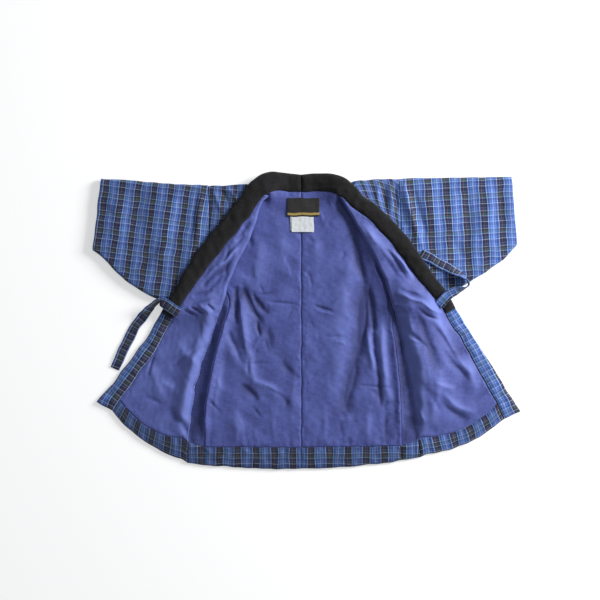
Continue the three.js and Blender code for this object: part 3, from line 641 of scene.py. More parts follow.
# a woven check: one ramp of warp stripes across the cloth and one of weft lines along it, where the
# weft shows over the warp by its own strength
checkPeriod = {"warp": 33, "weft": 32}
warpStripes = [     # start in mm, red, green, blue
    (0, 140, 160, 200), (0.9, 28, 18, 31), (5.6, 100, 70, 64), (6.4, 14, 13, 21),
    (8.8, 58, 64, 92), (9.4, 16, 14, 23), (13.4, 134, 156, 198), (14.3, 42, 70, 132),
    (18.0, 92, 124, 162), (18.8, 54, 86, 150), (22.2, 118, 124, 170), (24.2, 54, 88, 152),
    (27.2, 108, 128, 176), (27.9, 42, 68, 128),
]
weftLines = [       # start in mm, red, green, blue, strength
    (0, 166, 182, 210, 0.46), (0.9, 62, 98, 158, 0.12), (4.8, 116, 142, 180, 0.26),
    (5.4, 24, 46, 98, 0.28), (10.2, 156, 174, 208, 0.44), (11.1, 44, 96, 114, 0.26),
    (14.6, 132, 104, 96, 0.26), (15.4, 24, 58, 74, 0.32), (19.0, 156, 174, 208, 0.42),
    (19.9, 62, 98, 158, 0.12), (24.6, 124, 146, 186, 0.28), (25.2, 24, 46, 96, 0.26),
]


def chartRamp(tree, place, rows, period, soft=0.25):
    share = calc(tree, "FRACT", calc(tree, "DIVIDE", place, period * millimetre))
    ramp = addNode(tree, "ShaderNodeValToRGB", {0: share})
    ramp.color_ramp.interpolation = "LINEAR"
    stops = []
    for order, row in enumerate(rows):
        end = rows[order + 1][0] if order + 1 < len(rows) else period
        shade = (*toLinear(*row[1:4])[:3], row[4] if len(row) > 4 else 1.0)
        stops += [((row[0] + soft) / period, shade), ((end - soft) / period, shade)]
    while len(ramp.color_ramp.elements) > 1:
        ramp.color_ramp.elements.remove(ramp.color_ramp.elements[0])
    for order, (position, shade) in enumerate(stops):
        element = ramp.color_ramp.elements[0] if order == 0 else ramp.color_ramp.elements.new(position)
        element.position = position
        element.color = shade
    return ramp


def makeCheckGroup():
    tree, given, result = newGroup("cottonCheck", [("Place", "NodeSocketVector", None)],
                                   [("Color", "NodeSocketColor")])
    drift = addNode(tree, "ShaderNodeTexNoise", {"Vector": given["Place"], "Scale": 26.0, "Detail": 1.0},
                    noise_dimensions="2D")
    moved = addNode(tree, "ShaderNodeVectorMath", {0: drift.outputs["Color"], 1: (0.0016, 0.0016, 0)},
                    operation="MULTIPLY")
    place = addNode(tree, "ShaderNodeVectorMath", {0: given["Place"], 1: moved.outputs[0]})
    split = addNode(tree, "ShaderNodeSeparateXYZ", {0: place.outputs[0]})
    warp = chartRamp(tree, split.outputs[0], warpStripes, checkPeriod["warp"])
    weft = chartRamp(tree, split.outputs[1], weftLines, checkPeriod["weft"])
    tree.links.new(blend(tree, weft.outputs[1], warp.outputs[0], weft.outputs[0]), result["Color"])
    return tree


# uneven fading: broad noise and fine noise, each about the middle
def makeFadeGroup():
    tree, given, result = newGroup("unevenFade", [
        ("Place", "NodeSocketVector", None), ("Broad", "NodeSocketFloat", 20.0),
    ], [("Fade", "NodeSocketFloat")])
    broad = addNode(tree, "ShaderNodeTexNoise", {"Vector": given["Place"], "Scale": given["Broad"],
                                                 "Detail": 3.0, "Roughness": 0.6})
    fine = addNode(tree, "ShaderNodeTexNoise", {"Vector": given["Place"], "Scale": 240.0, "Detail": 2.0})
    both = calc(tree, "ADD", calc(tree, "MULTIPLY", broad.outputs[0], 0.65),
                calc(tree, "MULTIPLY", fine.outputs[0], 0.35))
    tree.links.new(both, result["Fade"])
    return tree


weaveGroup, checkGroup, fadeGroup = makeWeaveGroup(), makeCheckGroup(), makeFadeGroup()


# the nodes that every cloth shares: its place, its threads and its fading
def startCloth(name, look):
    material = bpy.data.materials.new(name)
    material.use_nodes = True
    tree = material.node_tree
    shader = tree.nodes["Principled BSDF"]
    setSockets(shader, look["sockets"])
    place = addNode(tree, "ShaderNodeUVMap", uv_map="cloth").outputs[0]
    body = addNode(tree, "ShaderNodeTexCoord").outputs["Object"]
    weave = addNode(tree, "ShaderNodeGroup", {"Place": place, "Pitch": look["pitch"]}, node_tree=weaveGroup)
    fade = addNode(tree, "ShaderNodeGroup", {"Place": body, "Broad": look["mottle"]}, node_tree=fadeGroup)
    return material, tree, shader, place, weave.outputs, fade.outputs[0]


def addBump(tree, shader, height, strength, distance):
    bump = addNode(tree, "ShaderNodeBump", {"Height": height, "Strength": strength, "Distance": distance})
    tree.links.new(bump.outputs[0], shader.inputs["Normal"])


# Lining: plain indigo cotton, lighter along its slubs, with painted highlight that makes its raised creases
# and the fronts lighter, and painted shade that makes its troughs and gussets darker
liningLook = {
    "deep": (60, 68, 130), "pale": (76, 87, 154), "paintedLightTone": (104, 118, 188), "troughShade": (20, 23, 50),
    "highlightShare": 0.4, "troughShadeShare": -0.4, "pitch": 0.0009, "mottle": 22.0, "bump": (0.35, 0.0004),
    "sockets": {"Roughness": 0.66, "Sheen Weight": 0.2, "Sheen Roughness": 0.45, "Specular IOR Level": 0.3},
}

def makeLining():
    look = liningLook
    material, tree, shader, place, weave, fade = startCloth("liningCotton", look)
    colour = blend(tree, spread(tree, fade, 0.36, 0.64), toLinear(*look["deep"]), toLinear(*look["pale"]))
    slub = spread(tree, weave["Slub"], 0.35, 0.65, 0.9, 1.1)
    colour = blend(tree, 1.0, colour, grey(tree, slub), "MULTIPLY")
    paintedLight = paintedLightOf(tree)
    # painted highlight: the lining is lighter on its raised creases and on the fronts
    highlit = calc(tree, "MULTIPLY", calc(tree, "MAXIMUM", paintedLight, 0.0), look["highlightShare"])
    colour = blend(tree, highlit, colour, toLinear(*look["paintedLightTone"]))
    # painted shade: the lining is darker in its troughs and on the gussets
    troughShade = calc(tree, "MULTIPLY", calc(tree, "MINIMUM", paintedLight, 0.0), look["troughShadeShare"])
    colour = blend(tree, troughShade, colour, toLinear(*look["troughShade"]))
    tree.links.new(colour, shader.inputs["Base Color"])
    addBump(tree, shader, weave["Height"], *look["bump"])
    return material

# Outer cloth: the check with its threads; painted light makes it lighter on its raised creases and on the
# pieces towards the key lamp, and painted shade makes it darker in its troughs and on the hem
checkedLook = {
    "pitch": 0.0011, "mottle": 16.0, "paintedLightShare": 0.5, "bump": (0.4, 0.0004),
    "sockets": {"Roughness": 0.78, "Sheen Weight": 0.2, "Specular IOR Level": 0.25},
}

def makeChecked():
    look = checkedLook
    material, tree, shader, place, weave, fade = startCloth("checkedCotton", look)
    check = addNode(tree, "ShaderNodeGroup", {"Place": place}, node_tree=checkGroup)
    tone = calc(tree, "MULTIPLY", spread(tree, weave["Slub"], 0.35, 0.65, 0.88, 1.12),
                spread(tree, fade, 0.3, 0.7, 0.88, 1.1))
    # painted light and shade: lighter where the attribute is above 0, darker below
    tone = calc(tree, "MULTIPLY", tone, calc(tree, "MULTIPLY_ADD", paintedLightOf(tree), look["paintedLightShare"], 1.0))
    colour = blend(tree, 1.0, check.outputs[0], grey(tree, tone), "MULTIPLY")
    tree.links.new(colour, shader.inputs["Base Color"])
    addBump(tree, shader, weave["Height"], *look["bump"])
    return material

# Collar: black cotton with a short nap, greyer where it is fluffed up
collarLook = {
    "deep": (14, 14, 15), "pale": (27, 27, 29), "pitch": 0.0008, "mottle": 60.0, "nap": 900.0,
    "bump": (0.5, 0.0006),
    "sockets": {"Roughness": 0.92, "Sheen Weight": 0.1, "Sheen Roughness": 0.6, "Specular IOR Level": 0.15},
}

def makeCollarCloth():
    look = collarLook
    material, tree, shader, place, weave, fade = startCloth("collarCotton", look)
    colour = blend(tree, spread(tree, fade, 0.35, 0.65), toLinear(*look["deep"]), toLinear(*look["pale"]))
    tree.links.new(colour, shader.inputs["Base Color"])
    nap = addNode(tree, "ShaderNodeTexNoise", {"Vector": place, "Scale": look["nap"], "Detail": 3.0})
    addBump(tree, shader, calc(tree, "ADD", nap.outputs[0], weave["Height"]), *look["bump"])
    return material

# Labels: satin tape woven across, with a plain line near the lower edge of the black one
labelLook = {
    "pitch": 0.0007, "mottle": 40.0, "bump": (0.3, 0.0003),
    "sockets": {"Roughness": 0.5, "Sheen Weight": 0.1},
}

def makeLabelCloth(name, base, line=None):
    material, tree, shader, place, weave, fade = startCloth(name, labelLook)
    colour = toLinear(*base)
    if line:
        height = addNode(tree, "ShaderNodeSeparateXYZ", {0: place}).outputs[1]
        inside = calc(tree, "MULTIPLY", calc(tree, "GREATER_THAN", height, line["from"] * millimetre),
                      calc(tree, "LESS_THAN", height, line["to"] * millimetre))
        colour = blend(tree, inside, colour, toLinear(*line["shade"]))
    tone = grey(tree, spread(tree, fade, 0.3, 0.7, 0.9, 1.08))
    tree.links.new(blend(tree, 1.0, colour, tone, "MULTIPLY"), shader.inputs["Base Color"])
    addBump(tree, shader, weave["Height"], *labelLook["bump"])
    return material

liningCotton, checkedCotton, collarCotton = makeLining(), makeChecked(), makeCollarCloth()
labelBlack = makeLabelCloth("labelBlack", (12, 11, 12), {"from": 2.4, "to": 6.6, "shade": (150, 128, 62)})
labelWhite = makeLabelCloth("labelWhite", (200, 204, 208))
print("materials made")

# Where the check falls on each piece: how far its stripes lean to +x going down, in degrees, the
# place across of the middle of a dark stripe, and the real distance between dark stripes
darkMiddle = 7.15
checkPlaces = {
    "sleeveRight": {"lean": -8, "darkAt": -300.5, "period": 29.07},
    "sleeveLeft": {"lean": 3.4, "darkAt": 296.2, "period": 32.4},
    "shoulderRight": {"lean": -5, "darkAt": -168.2, "period": 20.5},
    "shoulderLeft": {"lean": 60, "fan": -0.3, "below": 250, "darkAt": 105.4, "period": 20.5},
    "hem": {"lean": 0, "darkAt": 9.3, "period": 33},
}


# painted light and shade on the outer cloth of each piece: above 0 it is painted lighter, as on the pieces
# towards the key lamp, and below 0 darker, as on the hem
outerPaintedLight = {
    "sleeveRight": 0.1, "sleeveLeft": 0.75, "shoulderRight": -0.2, "shoulderLeft": 0.6,
    "frontEdgeRight": 0, "frontEdgeLeft": 0.6, "tieRight": -0.2, "tieLeft": 0.4,
    "hemBackRight": -0.60, "hemBackLeft": -0.50, "hemGussetRight": -0.65, "hemGussetLeft": -0.3,
    "hemFrontRight": -0.70, "hemFrontLeft": 0.05,
}


# places on the cloth from places on the floor, turned by the stripes' lean; a fan's lean changes
# with x, by degrees for each millimetre, about a level that it hangs below
def checkPlane(name, x, y, extra=0):
    values = checkPlaces[name]
    lean = np.radians(values["lean"] + values.get("fan", 0) * x)
    height = y - values.get("below", 0)
    across = x * np.cos(lean) + height * np.sin(lean) + extra
    along = height * np.cos(lean) - x * np.sin(lean)
    scaled = (across - values["darkAt"]) * checkPeriod["warp"] / values["period"] + darkMiddle
    return grid(scaled, along)


def stripAcross(away, along, darkAt):
    return grid(away - darkAt + darkMiddle, along)


# The seam of back and gusset stands up as a ridge, which fades at its ends
def gussetRidge(label, fromSeam, y):
    along = ease((44 - y) / 60) * ease((y + 222) / 50)
    return cloth["gussetRidge"][label] * np.exp(-(fromSeam / cloth["gussetRidgeWide"]) ** 2) * along


# The left back half slopes up from its long valley towards the front's fold, and ends just before it
stripPath = table("y x", [
    [222, 34], [190, 58], [153, 82], [120, 95], [82, 102], [58, 105], [27, 115], [-20, 122],
])


def raisedStrip(x, y):
    valley = read(stripPath, "x", y, "y")
    fold = read(leftFront, "foldX", np.clip(y, 34, 225), "foldY")
    slope = np.clip((x - valley) * cloth["stripSlope"], 0, cloth["stripHigh"])
    return slope * ease((fold - 2 - x) / 6) * ease((y + 24) / 60) * ease((228 - y) / 20)


# At the corners of the neck the back rises with the collar, as far as the front's fold
def neckRise(neck, x, y, topY):
    across = np.abs(x)
    rest = np.clip(read(neck, "rest", x, "x"), 0, 12)
    return rest * np.exp(-((topY - y) / 17) ** 2) * ease((np.abs(neck["x"][-1]) - across) / 10)


# Back halves: each row runs from the centre seam to the side line; the top row follows the neck and
# shoulder, the last one the hem's seam
def makeBack(label, side, top, neck, sign, seed):
    sideLength = np.hypot(np.diff(side["x"]), np.diff(side["y"])).sum()
    down = spacedShares(sideLength, lineCount(sideLength))[0][:, None]
    inner = cloth["centreX"] - sign * cloth["seamLap"] / 2
    sideX = read(side, "x", down)
    widest = np.abs(sideX - inner).max()
    share = spacedShares(np.abs(sideX - inner)[:, 0], lineCount(widest))
    x = mix(inner, sideX, share)
    drop = (side["y"][0] - read(top, "y", x, "x")) * (1 - ease(down / 0.2))
    level = (cloth["hemTop"] - side["y"][-1]) * (1 - share) * ease(down)
    y = read(side, "y", down) - drop + level
    height = relief(creases["back" + label], x, y) + smallRelief(x, y, seed + 7)
    fromHem = np.maximum(y - cloth["hemTop"], 0)
    height += 0.6 * softNoise(x, 0.3 * y, 17, seed + 5) * np.exp(-fromHem / 24)
    lift = gussetRidge(label, np.abs(sideX - x), y) + neckRise(neck, x, y, read(top, "y", x, "x"))
    if label == "Left":
        lift = np.maximum(lift, raisedStrip(x, y))
    base = np.zeros_like(x)
    piece = lyingWall("back" + label, x, y, base, cloth["bodyWall"], height, seed,
                      [liningCotton, liningCotton, checkedCotton], checkPlane("hem", x, y), lift=lift,
                      turned=(np.arange(len(down))[:, None] <= rimFaces)
                      & (np.abs(x) > cloth["shoulderFrom"]))
    return declare(piece, f"back_{label.lower()}")


# Fronts: for each row a hidden leg over the back, a turn, and the turned-back layer above it; lower
# down the turn opens until the front is one layer. The middle line is worked out first, then each
# surface is half a wall from it, square to the line
frontForm = {
    "opens": 0.56, "hem": 0.94,             # the places where the fold opens and where the hem begins
    "lines": (34, 14, 60),                  # grid lines in the leg, the turn and the layer
    "roll": 5.2, "rollAt": 15, "rollWide": 11,   # the soft roll beside the opened fold
    "troughDeep": 3.4, "troughSoft": 1.1,   # troughs flatten out below this depth
    "paintedPaler": {"Right": (0.6, 0.6), "Left": (0.7, 0.2)},   # painted light on the fronts' lining, above and below the ties
}

def frontMiddle(front, sleeve, at, counts=frontForm["lines"]):
    sign = np.sign(front["seamX"][0])
    at = np.asarray(at, float)[:, None]
    seam = grid(read(front, "seamX", at), read(front, "seamY", at))
    edge = grid(read(front, "foldX", at), read(front, "foldY", at))
    width = np.linalg.norm(edge - seam, axis=2)
    out = (edge - seam) / width[..., None]
    outX, outY = out[..., 0], out[..., 1]
    half = cloth["frontWall"] / 2
    unrolled = ease((at - frontForm["opens"]) / 0.06)
    curl = np.maximum(np.pi * (1 - unrolled), 0.01)
    radius = cloth["foldTurn"] / curl
    shortLeg = 2
    opened = radius * np.sin(curl) + shortLeg * np.cos(curl) + half * np.sin(curl)
    reach = np.where(curl > np.pi / 2, radius + half, opened)
    startX, startY = edge[..., 0] - outX * reach, edge[..., 1] - outY * reach
    layerWidth = np.maximum(width - reach, 1.5)
    startLevel = restHeight(sleeve, startX, startY) + half

    armY = read(front, "armY", at)
    armX = armholeX(sleeve, armY) + sign * 0.4
    endX, endY = startX + outX * radius * np.sin(curl), startY + outY * radius * np.sin(curl)
    legSpan = np.hypot(armX - endX, armY - endY)
    legLength = mix(legSpan, shortLeg, ease((at - frontForm["opens"]) / 0.02))
    folded = curl > np.pi / 2
    wayX = np.where(folded, (armX - endX) / legSpan, outX) * np.abs(np.cos(curl))
    wayY = np.where(folded, (armY - endY) / legSpan, outY) * np.abs(np.cos(curl))
    share = spacedShares(legLength[:, 0], counts[0])[:, ::-1]
    bowed = read(front, "legBow", at) * (1 - share) * ease(share / 0.35)
    leg = (endX + wayX * legLength * share, endY + wayY * legLength * share + bowed,
           startLevel - radius * (1 - np.cos(curl)) - legLength * share * np.sin(curl))
    legAway = np.broadcast_to(curl, share.shape)

    angle = curl * np.linspace(1, 0, counts[1] + 2)[1:-1]
    turn = (startX + outX * radius * np.sin(angle), startY + outY * radius * np.sin(angle),
            startLevel - radius * (1 - np.cos(angle)))

    share = spacedShares(layerWidth[:, 0], counts[2])
    bowed = read(front, "bow", at) * 4 * share * (1 - share)
    layerX, layerY = mix(startX, seam[..., 0], share), mix(startY, seam[..., 1], share)
    level = mix(startLevel, restHeight(sleeve, layerX, layerY) + half, ease(share * 3))
    layer = (layerX + outY * bowed * np.sign(outX), layerY - np.abs(outX) * bowed, level)

    x, y, z = (np.concatenate(parts, axis=1) for parts in zip(leg, turn, layer))
    away = np.concatenate([legAway, angle, np.zeros_like(share)], axis=1)
    return x, y, z, away, outX, outY


frontLines = np.concatenate([[0, 0.0007, 0.002, 0.004, 0.007], np.linspace(0.011, 0.552, 122),
                             np.linspace(0.555, 0.625, 34), np.linspace(0.629, 0.933, 78),
                             [0.936, 0.938, 0.9392, 0.9397, 0.94]])
legLines = frontForm["lines"][0] + 2 * len(rimLines)

# over the rims at the shoulder and the armhole the outer cloth shows
def makeFront(label, front, sleeve, sign, seed):
    x, y, z, away, outX, outY = frontMiddle(front, sleeve, frontLines)
    middle = grid(x, y, z)
    distance = edgeDistance(middle)
    half = cloth["frontWall"] / 2 * (1 - cloth["seamDip"] * np.exp(-distance / cloth["seamReach"]))
    half = half * rounded(distance, cloth["frontWall"] / 2)
    tiltX, tiltY, rise = outX * np.sin(away), outY * np.sin(away), np.cos(away)
    swell = 0.5 * softNoise(x, y, 42, seed) + 0.16 * softNoise(x, y, 15, seed + 1)
    pucker = 0.7 * softNoise(x, y, 9, seed + 2) * np.exp(-distance / 6)
    fromHem = np.maximum(y - read(front, "foldY", frontForm["hem"]), 0)
    pleats = 0.7 * softNoise(x, y, 14, seed + 5) * np.exp(-fromHem / 20)
    foldX, foldY = (read(front, column, frontLines)[:, None] for column in ("foldX", "foldY"))
    fromRoll = (np.hypot(x - foldX, y - foldY) - frontForm["rollAt"]) / frontForm["rollWide"]
    lowerDown = ease((frontLines - frontForm["opens"]) / 0.08) * (1 - 0.6 * ease((frontLines - 0.86) / 0.08))
    roll = frontForm["roll"] * np.exp(-fromRoll**2) * lowerDown[:, None]
    folds = relief(creases["front" + label], x, y) + smallRelief(x, y, seed + 7)
    raised = (folds + swell + pucker + pleats + roll) * ease(distance / 7)
    deep = np.minimum(raised + frontForm["troughDeep"], 0)
    raised = raised - deep + frontForm["troughSoft"] * np.tanh(deep / frontForm["troughSoft"])
    facing = np.maximum(rise, 0)
    z = z + relief(billows["front" + label], x, y, 1) * facing * ease(distance / 26)
    outside = half + raised * facing
    shoulder = relief(creases["shoulder" + label], x, y) * ease(distance / 5) * np.maximum(-rise, 0)
    upper = grid(x + tiltX * outside, y + tiltY * outside, np.maximum(z + rise * outside, 0.1))
    lowZ = np.maximum(z - rise * half + shoulder, 0)
    lower = grid(x - tiltX * half, y - tiltY * half, lowZ)
    points = np.concatenate([upper.reshape(-1, 3), lower.reshape(-1, 3)])
    sheet, under, strips = wallFaces(*x.shape)
    # painted light: the fronts' lining is painted lighter, by one value above the ties and one below
    paintedPalerAbove, paintedPalerBelow = frontForm["paintedPaler"][label]
    paintedPaler = mix(paintedPalerBelow, paintedPalerAbove, ease((y + 30) / 70))
    # painted light and shade: raised creases lighter and troughs darker, on the lining and on the shoulder
    # creases of the outer cloth
    paintedLight = np.concatenate([np.clip(raised * facing / 3 + paintedPaler, -1, 1.8).ravel(),
                           np.clip(shoulder / 4 + outerPaintedLight["shoulder" + label], -1, 1).ravel()])
    places = np.concatenate([grid(x, y).reshape(-1, 2),
                             checkPlane("shoulder" + label, x, y).reshape(-1, 2)])
    opening = np.repeat((frontLines[1:] > 0.52) & (frontLines[1:] < 0.68), x.shape[1] - 1)
    rim = np.zeros((x.shape[0] - 1, x.shape[1] - 1), bool)
    rim[:rimFaces, :legLines] = True
    rim[:, :rimFaces] = True
    rim = rim.ravel()
    piece = makeObject("front" + label, points,
                       [sheet[~rim], sheet[rim], strips, under[opening], under[~opening]],
                       [liningCotton, checkedCotton, checkedCotton, liningCotton, checkedCotton],
                       places, paintedLight)
    return declare(piece, f"front_{label.lower()}")


# Gussets: a narrow wedge from the back's side line to the front's, under the front's leg at its top,
# where a tongue of it runs on under the fold
gussetForm = {
    # the gusset's fade below 0 is painted shade: it makes its lining darker in the channel
    "wide": 24, "lines": 9, "hollow": 1.6, "fade": -0.7,
    "tongue": 26, "tongueFrom": -12, "tongueRun": 18,
}

def makeGusset(label, side, front, sleeve, sign, seed):
    form = gussetForm
    lines = spacedShares(cloth["gussetLong"], lineCount(cloth["gussetLong"]))[0]
    down = mix(0.31, 1, lines)[:, None]
    share = spacedShares(np.full(len(lines), form["wide"]), form["lines"])
    lap = cloth["seamLap"]
    backX, backY = read(side, "x", down) - sign * lap, read(side, "y", down)
    armX = armholeX(sleeve, backY) + sign * lap
    hemBack, hemFront = side["y"][-1], read(front, "foldY", frontForm["hem"])
    nearHem = ease(1 - (backY - hemBack) / 60)
    frontX = read(front, "foldX", backY, "foldY") + sign * lap * (1 + nearHem)
    frontX = frontX + sign * form["tongue"] * ease((backY - form["tongueFrom"]) / form["tongueRun"])
    outerX = mix(frontX, armX, ease((backY - 32) / 14))
    x = mix(backX, sign * np.maximum(sign * outerX, sign * backX + 1), share)
    y = backY + (hemFront - hemBack) * share * nearHem
    middleLine = 1.3 * np.sin(np.pi * share) ** 2 * ease((40 - y) / 60)
    height = middleLine - form["hollow"] * ease((60 - y) / 60) + 0.5 * softNoise(x, y, 30, seed)
    base = np.zeros_like(x)
    lift = gussetRidge(label, np.abs(x - backX), y)
    piece = lyingWall("gusset" + label, x, y, base, cloth["gussetWall"], height, seed,
                      [liningCotton, liningCotton, checkedCotton], grid(x, y), 0.2, lift, form["fade"])
    return declare(piece, f"gusset_{label.lower()}")


# Sleeves: each ring runs across from the top fold to the underarm seam and back below, half as high
# as the sleeve with round edges; inside it a flat loop one wall in; both meet in rounded lips
def makeSleeve(label, sleeve, sign, seed):
    at = spacedShares(cloth["sleeveLong"], lineCount(cloth["sleeveLong"]))[0][:, None]
    topX, topY = read(sleeve, "topX", at), read(sleeve, "topY", at)
    lowX, lowY = read(sleeve, "lowX", at), read(sleeve, "lowY", at)
    width = np.hypot(lowX - topX, lowY - topY)[:, 0]
    ends = edgeDistance(grid((topX + lowX) / 2, (topY + lowY) / 2, 0 * topX), ways=(0,))
    lip = 1 - rounded(ends, cloth["sleeveWall"] / 2, 0.05)
    high = sleeveHeight / 2
    loops = []
    paintedLightParts = []
    for inset, half, way in ((0, high, -1), (cloth["sleeveWall"], cloth["sleeveGap"] / 2, 1)):
        span = width - 2 * inset
        steps = spacedShares(span, lineCount(width.max()), np.array([0, 0.25, 1, 2.4, 4.4, 6.6]))
        share = (inset + steps * span[:, None]) / width[:, None]
        fromEdge = np.minimum(steps, 1 - steps) * span[:, None]
        tall = half * rounded(fromEdge, half, 0.1) + way * lip * cloth["sleeveWall"] / 2
        x, y = mix(topX, lowX, share), mix(topY, lowY, share)
        inside = ease(np.minimum(fromEdge, ends) / 9)
        raised = np.zeros_like(x)
        if inset == 0:
            raised = (relief(creases["sleeve" + label], x, y) + 0.4 * softNoise(x, y, 46, seed)
                      + 0.12 * softNoise(x, y, 14, seed + 1)) * inside
        above = grid(x, y, high + tall + raised)
        below = grid(x, y, np.maximum(high - tall + 0.25 * np.abs(raised), 0))
        loops.append(np.concatenate([above, below[:, ::-1]], axis=1))
        paintedLightParts.append(np.concatenate([raised, 0 * raised], axis=1))
    rings, count = loops[0].shape[:2]
    index = np.arange(rings * count).reshape(rings, count)
    follow = np.roll(index, -1, axis=1)
    outer = grid(index[:-1], index[1:], follow[1:], follow[:-1]).reshape(-1, 4)
    inner = outer[:, ::-1] + rings * count
    lips = np.concatenate([grid(index[row], follow[row], follow[row] + rings * count,
                                index[row] + rings * count)[:, ::turn] for row, turn in ((0, 1), (-1, -1))])
    points = np.concatenate([loop.reshape(-1, 3) for loop in loops])
    steps = np.linalg.norm(np.diff(loops[0], axis=0), axis=2)
    flatSteps = np.linalg.norm(np.diff(loops[0][..., :2], axis=0), axis=2)
    taken = np.cumsum(np.insert(steps - flatSteps, 0, 0, axis=0), axis=0) * -sign
    places = np.concatenate([
        checkPlane("sleeve" + label, loop[..., 0], loop[..., 1], extra).reshape(-1, 2)
        for loop, extra in zip(loops, (taken, 0))])
    # painted light and shade: raised creases lighter and troughs darker, and the left sleeve painted lighter
    # all over
    paintedLight = np.clip(np.concatenate([part.ravel() for part in paintedLightParts]) / 3 + outerPaintedLight["sleeve" + label], -1, 1)
    piece = makeObject("sleeve" + label, points, [outer, lips, inner],
                       [checkedCotton, checkedCotton, liningCotton], places, paintedLight)
    return declare(piece, f"sleeve_{label.lower()}")


# Bands along the fronts' seam: places down the seam, and a width square to it
def seamPoint(front, neck, at):
    onFront = at >= 0
    x = np.where(onFront, read(front, "seamX", at), read(neck, "x", at))
    y = np.where(onFront, read(front, "seamY", at), read(neck, "y", at))
    return x, y


def bandGrid(front, neck, sign, at, nearGap):
    at = at[:, None]
    seamX, seamY = seamPoint(front, neck, at)
    beforeX, beforeY = seamPoint(front, neck, at - 0.012)
    afterX, afterY = seamPoint(front, neck, at + 0.012)
    length = np.hypot(afterX - beforeX, afterY - beforeY)
    wayX, wayY = -sign * (afterY - beforeY) / length, sign * (afterX - beforeX) / length
    centre = ease((at + 0.24) / 0.012)
    wayX, wayY = wayX * centre, mix(1, wayY, centre)
    width = np.where(at >= 0, read(front, "band", at), read(neck, "band", at))
    share = spacedShares(np.full(len(at), 28), 12)
    away = mix(nearGap, width, share)
    x, y = seamX + wayX * away, seamY + wayY * away
    steps = np.hypot(np.diff(seamX, axis=0), np.diff(seamY, axis=0))
    along = np.cumsum(np.insert(steps, 0, 0, axis=0), axis=0)
    return x, y, away, np.broadcast_to(along, x.shape), share, at


def makeCollar(label, front, neck, sleeve, sign, end, tiePath, seed):
    rim = rimLines / cloth["collarLong"]
    at = np.concatenate([-0.24 + rim, np.linspace(-0.23, end - 0.01, 180), end + 0.001 - rim[::-1]])
    overFold = 2.8 * np.exp(-((at[:, None] + 0.045) / 0.055) ** 2)
    x, y, away, along, share, at = bandGrid(front, neck, sign, at, -cloth["seamLap"] - overFold)
    base = mix(flapLow, restHeight(sleeve, x, y), ease(at / 0.2))
    if tiePath is not None:
        fromTie = np.hypot(x - tiePath["x"][-1], y - tiePath["y"][-1]) / cloth["tieReach"]
        base = base + cloth["tieLift"] * np.exp(-fromTie**2)
    base = np.where(at <= 0, np.maximum(read(neck, "rest", at), 0), base)
    height = 1.3 * np.sin(np.pi * share) ** 0.8 + 0.5 * softNoise(x, y, 22, seed)
    height = height + 0.7 * np.exp(-((at + 0.05) / 0.06) ** 2) * np.sin(along / 3.2) * (1 - share)
    piece = lyingWall("collar" + label, x, y, base, cloth["collarWall"], height, seed,
                      [collarCotton] * 3, grid(away, along), 0.2)
    return declare(piece, f"collar_{label.lower()}")


def makeFrontEdge(label, front, neck, sleeve, sign, start, seed, darkAt):
    rim = rimLines / cloth["edgeLong"]
    at = np.concatenate([start - 0.001 + rim, np.linspace(start + 0.016, 0.985, 100), 1 - rim[::-1]])
    x, y, away, along, share, at = bandGrid(front, neck, sign, at, -cloth["seamLap"])
    base = restHeight(sleeve, x, y)
    height = 0.5 * np.sin(np.pi * share) + 0.5 * softNoise(x, y, 26, seed)
    # painted light makes the left front edge lighter
    piece = lyingWall("frontEdge" + label, x, y, base, cloth["facingWall"], height, seed,
                      [checkedCotton] * 3, stripAcross(away, along, darkAt), 0.2,
                      fade=outerPaintedLight["frontEdge" + label])
    return declare(piece, f"front_edge_{label.lower()}")


# Hem bands: a grid between each panel's lower edge and the hem's lower edge
def makeHemBand(name, node, upperEdge, lowerEdge, seed, along=None):
    down = spacedShares(36, 12)[0][:, None]
    (topX, topY), (lowX, lowY) = upperEdge, lowerEdge
    x, y = mix(topX, lowX, down), mix(topY, lowY, down)
    base = np.zeros_like(x)
    places = checkPlane("hem", x if along is None else np.broadcast_to(along, x.shape), y)
    if along is not None:
        places[..., 1] = -36 * np.broadcast_to(down, x.shape)
    height = 0.35 * softNoise(x, y, 20, seed) + 0.5 * softNoise(x, 0 * y, 15, seed + 4) * (1 - down)
    # painted shade makes the hem bands darker, all but the left front's
    piece = lyingWall(name, x, y, base, cloth["hemWall"], height, seed, [checkedCotton] * 3, places, 0.15,
                      fade=outerPaintedLight[name])
    return declare(piece, node)


def makeHems(label, side, front, sleeve, hem, sign, seed):
    gap = -cloth["seamLap"]
    cornerX, cornerY = side["x"][-1], side["y"][-1]
    share = spacedShares(abs(cornerX - cloth["centreX"]), 80)[0]
    backX = mix(cloth["centreX"] + sign * gap / 2, cornerX, share)
    backTop = (backX, mix(cloth["hemTop"], cornerY, share) - gap)
    backLow = (backX, read(hem, "y", backX, "x"))
    rows = frontMiddle(front, sleeve, [frontForm["hem"], 1.0], (3, 5, 60))
    (topX, lowX), (topY, lowY) = rows[0], rows[1]
    along = lowX[0] + sign * np.cumsum(np.insert(np.hypot(np.diff(lowX), np.diff(lowY)), 0, 0))
    narrow = spacedShares(30, 10)[0]
    between = [(mix(startX, endX, narrow), mix(startY, endY, narrow))
               for startX, startY, endX, endY in (
                   (cornerX + sign * gap, cornerY - gap, topX[0] - sign * gap, topY[0] - 2 * gap),
                   (cornerX + sign * gap, backLow[1][-1], lowX[0] - sign * gap, lowY[0]))]
    lower = label.lower()
    return [
        makeHemBand("hemBack" + label, f"hem_back_{lower}", backTop, backLow, seed),
        makeHemBand("hemGusset" + label, f"hem_gusset_{lower}", *between, seed + 10),
        makeHemBand("hemFront" + label, f"hem_front_{lower}", (topX, topY - gap), (lowX, lowY),
                    seed + 20, along),
    ]


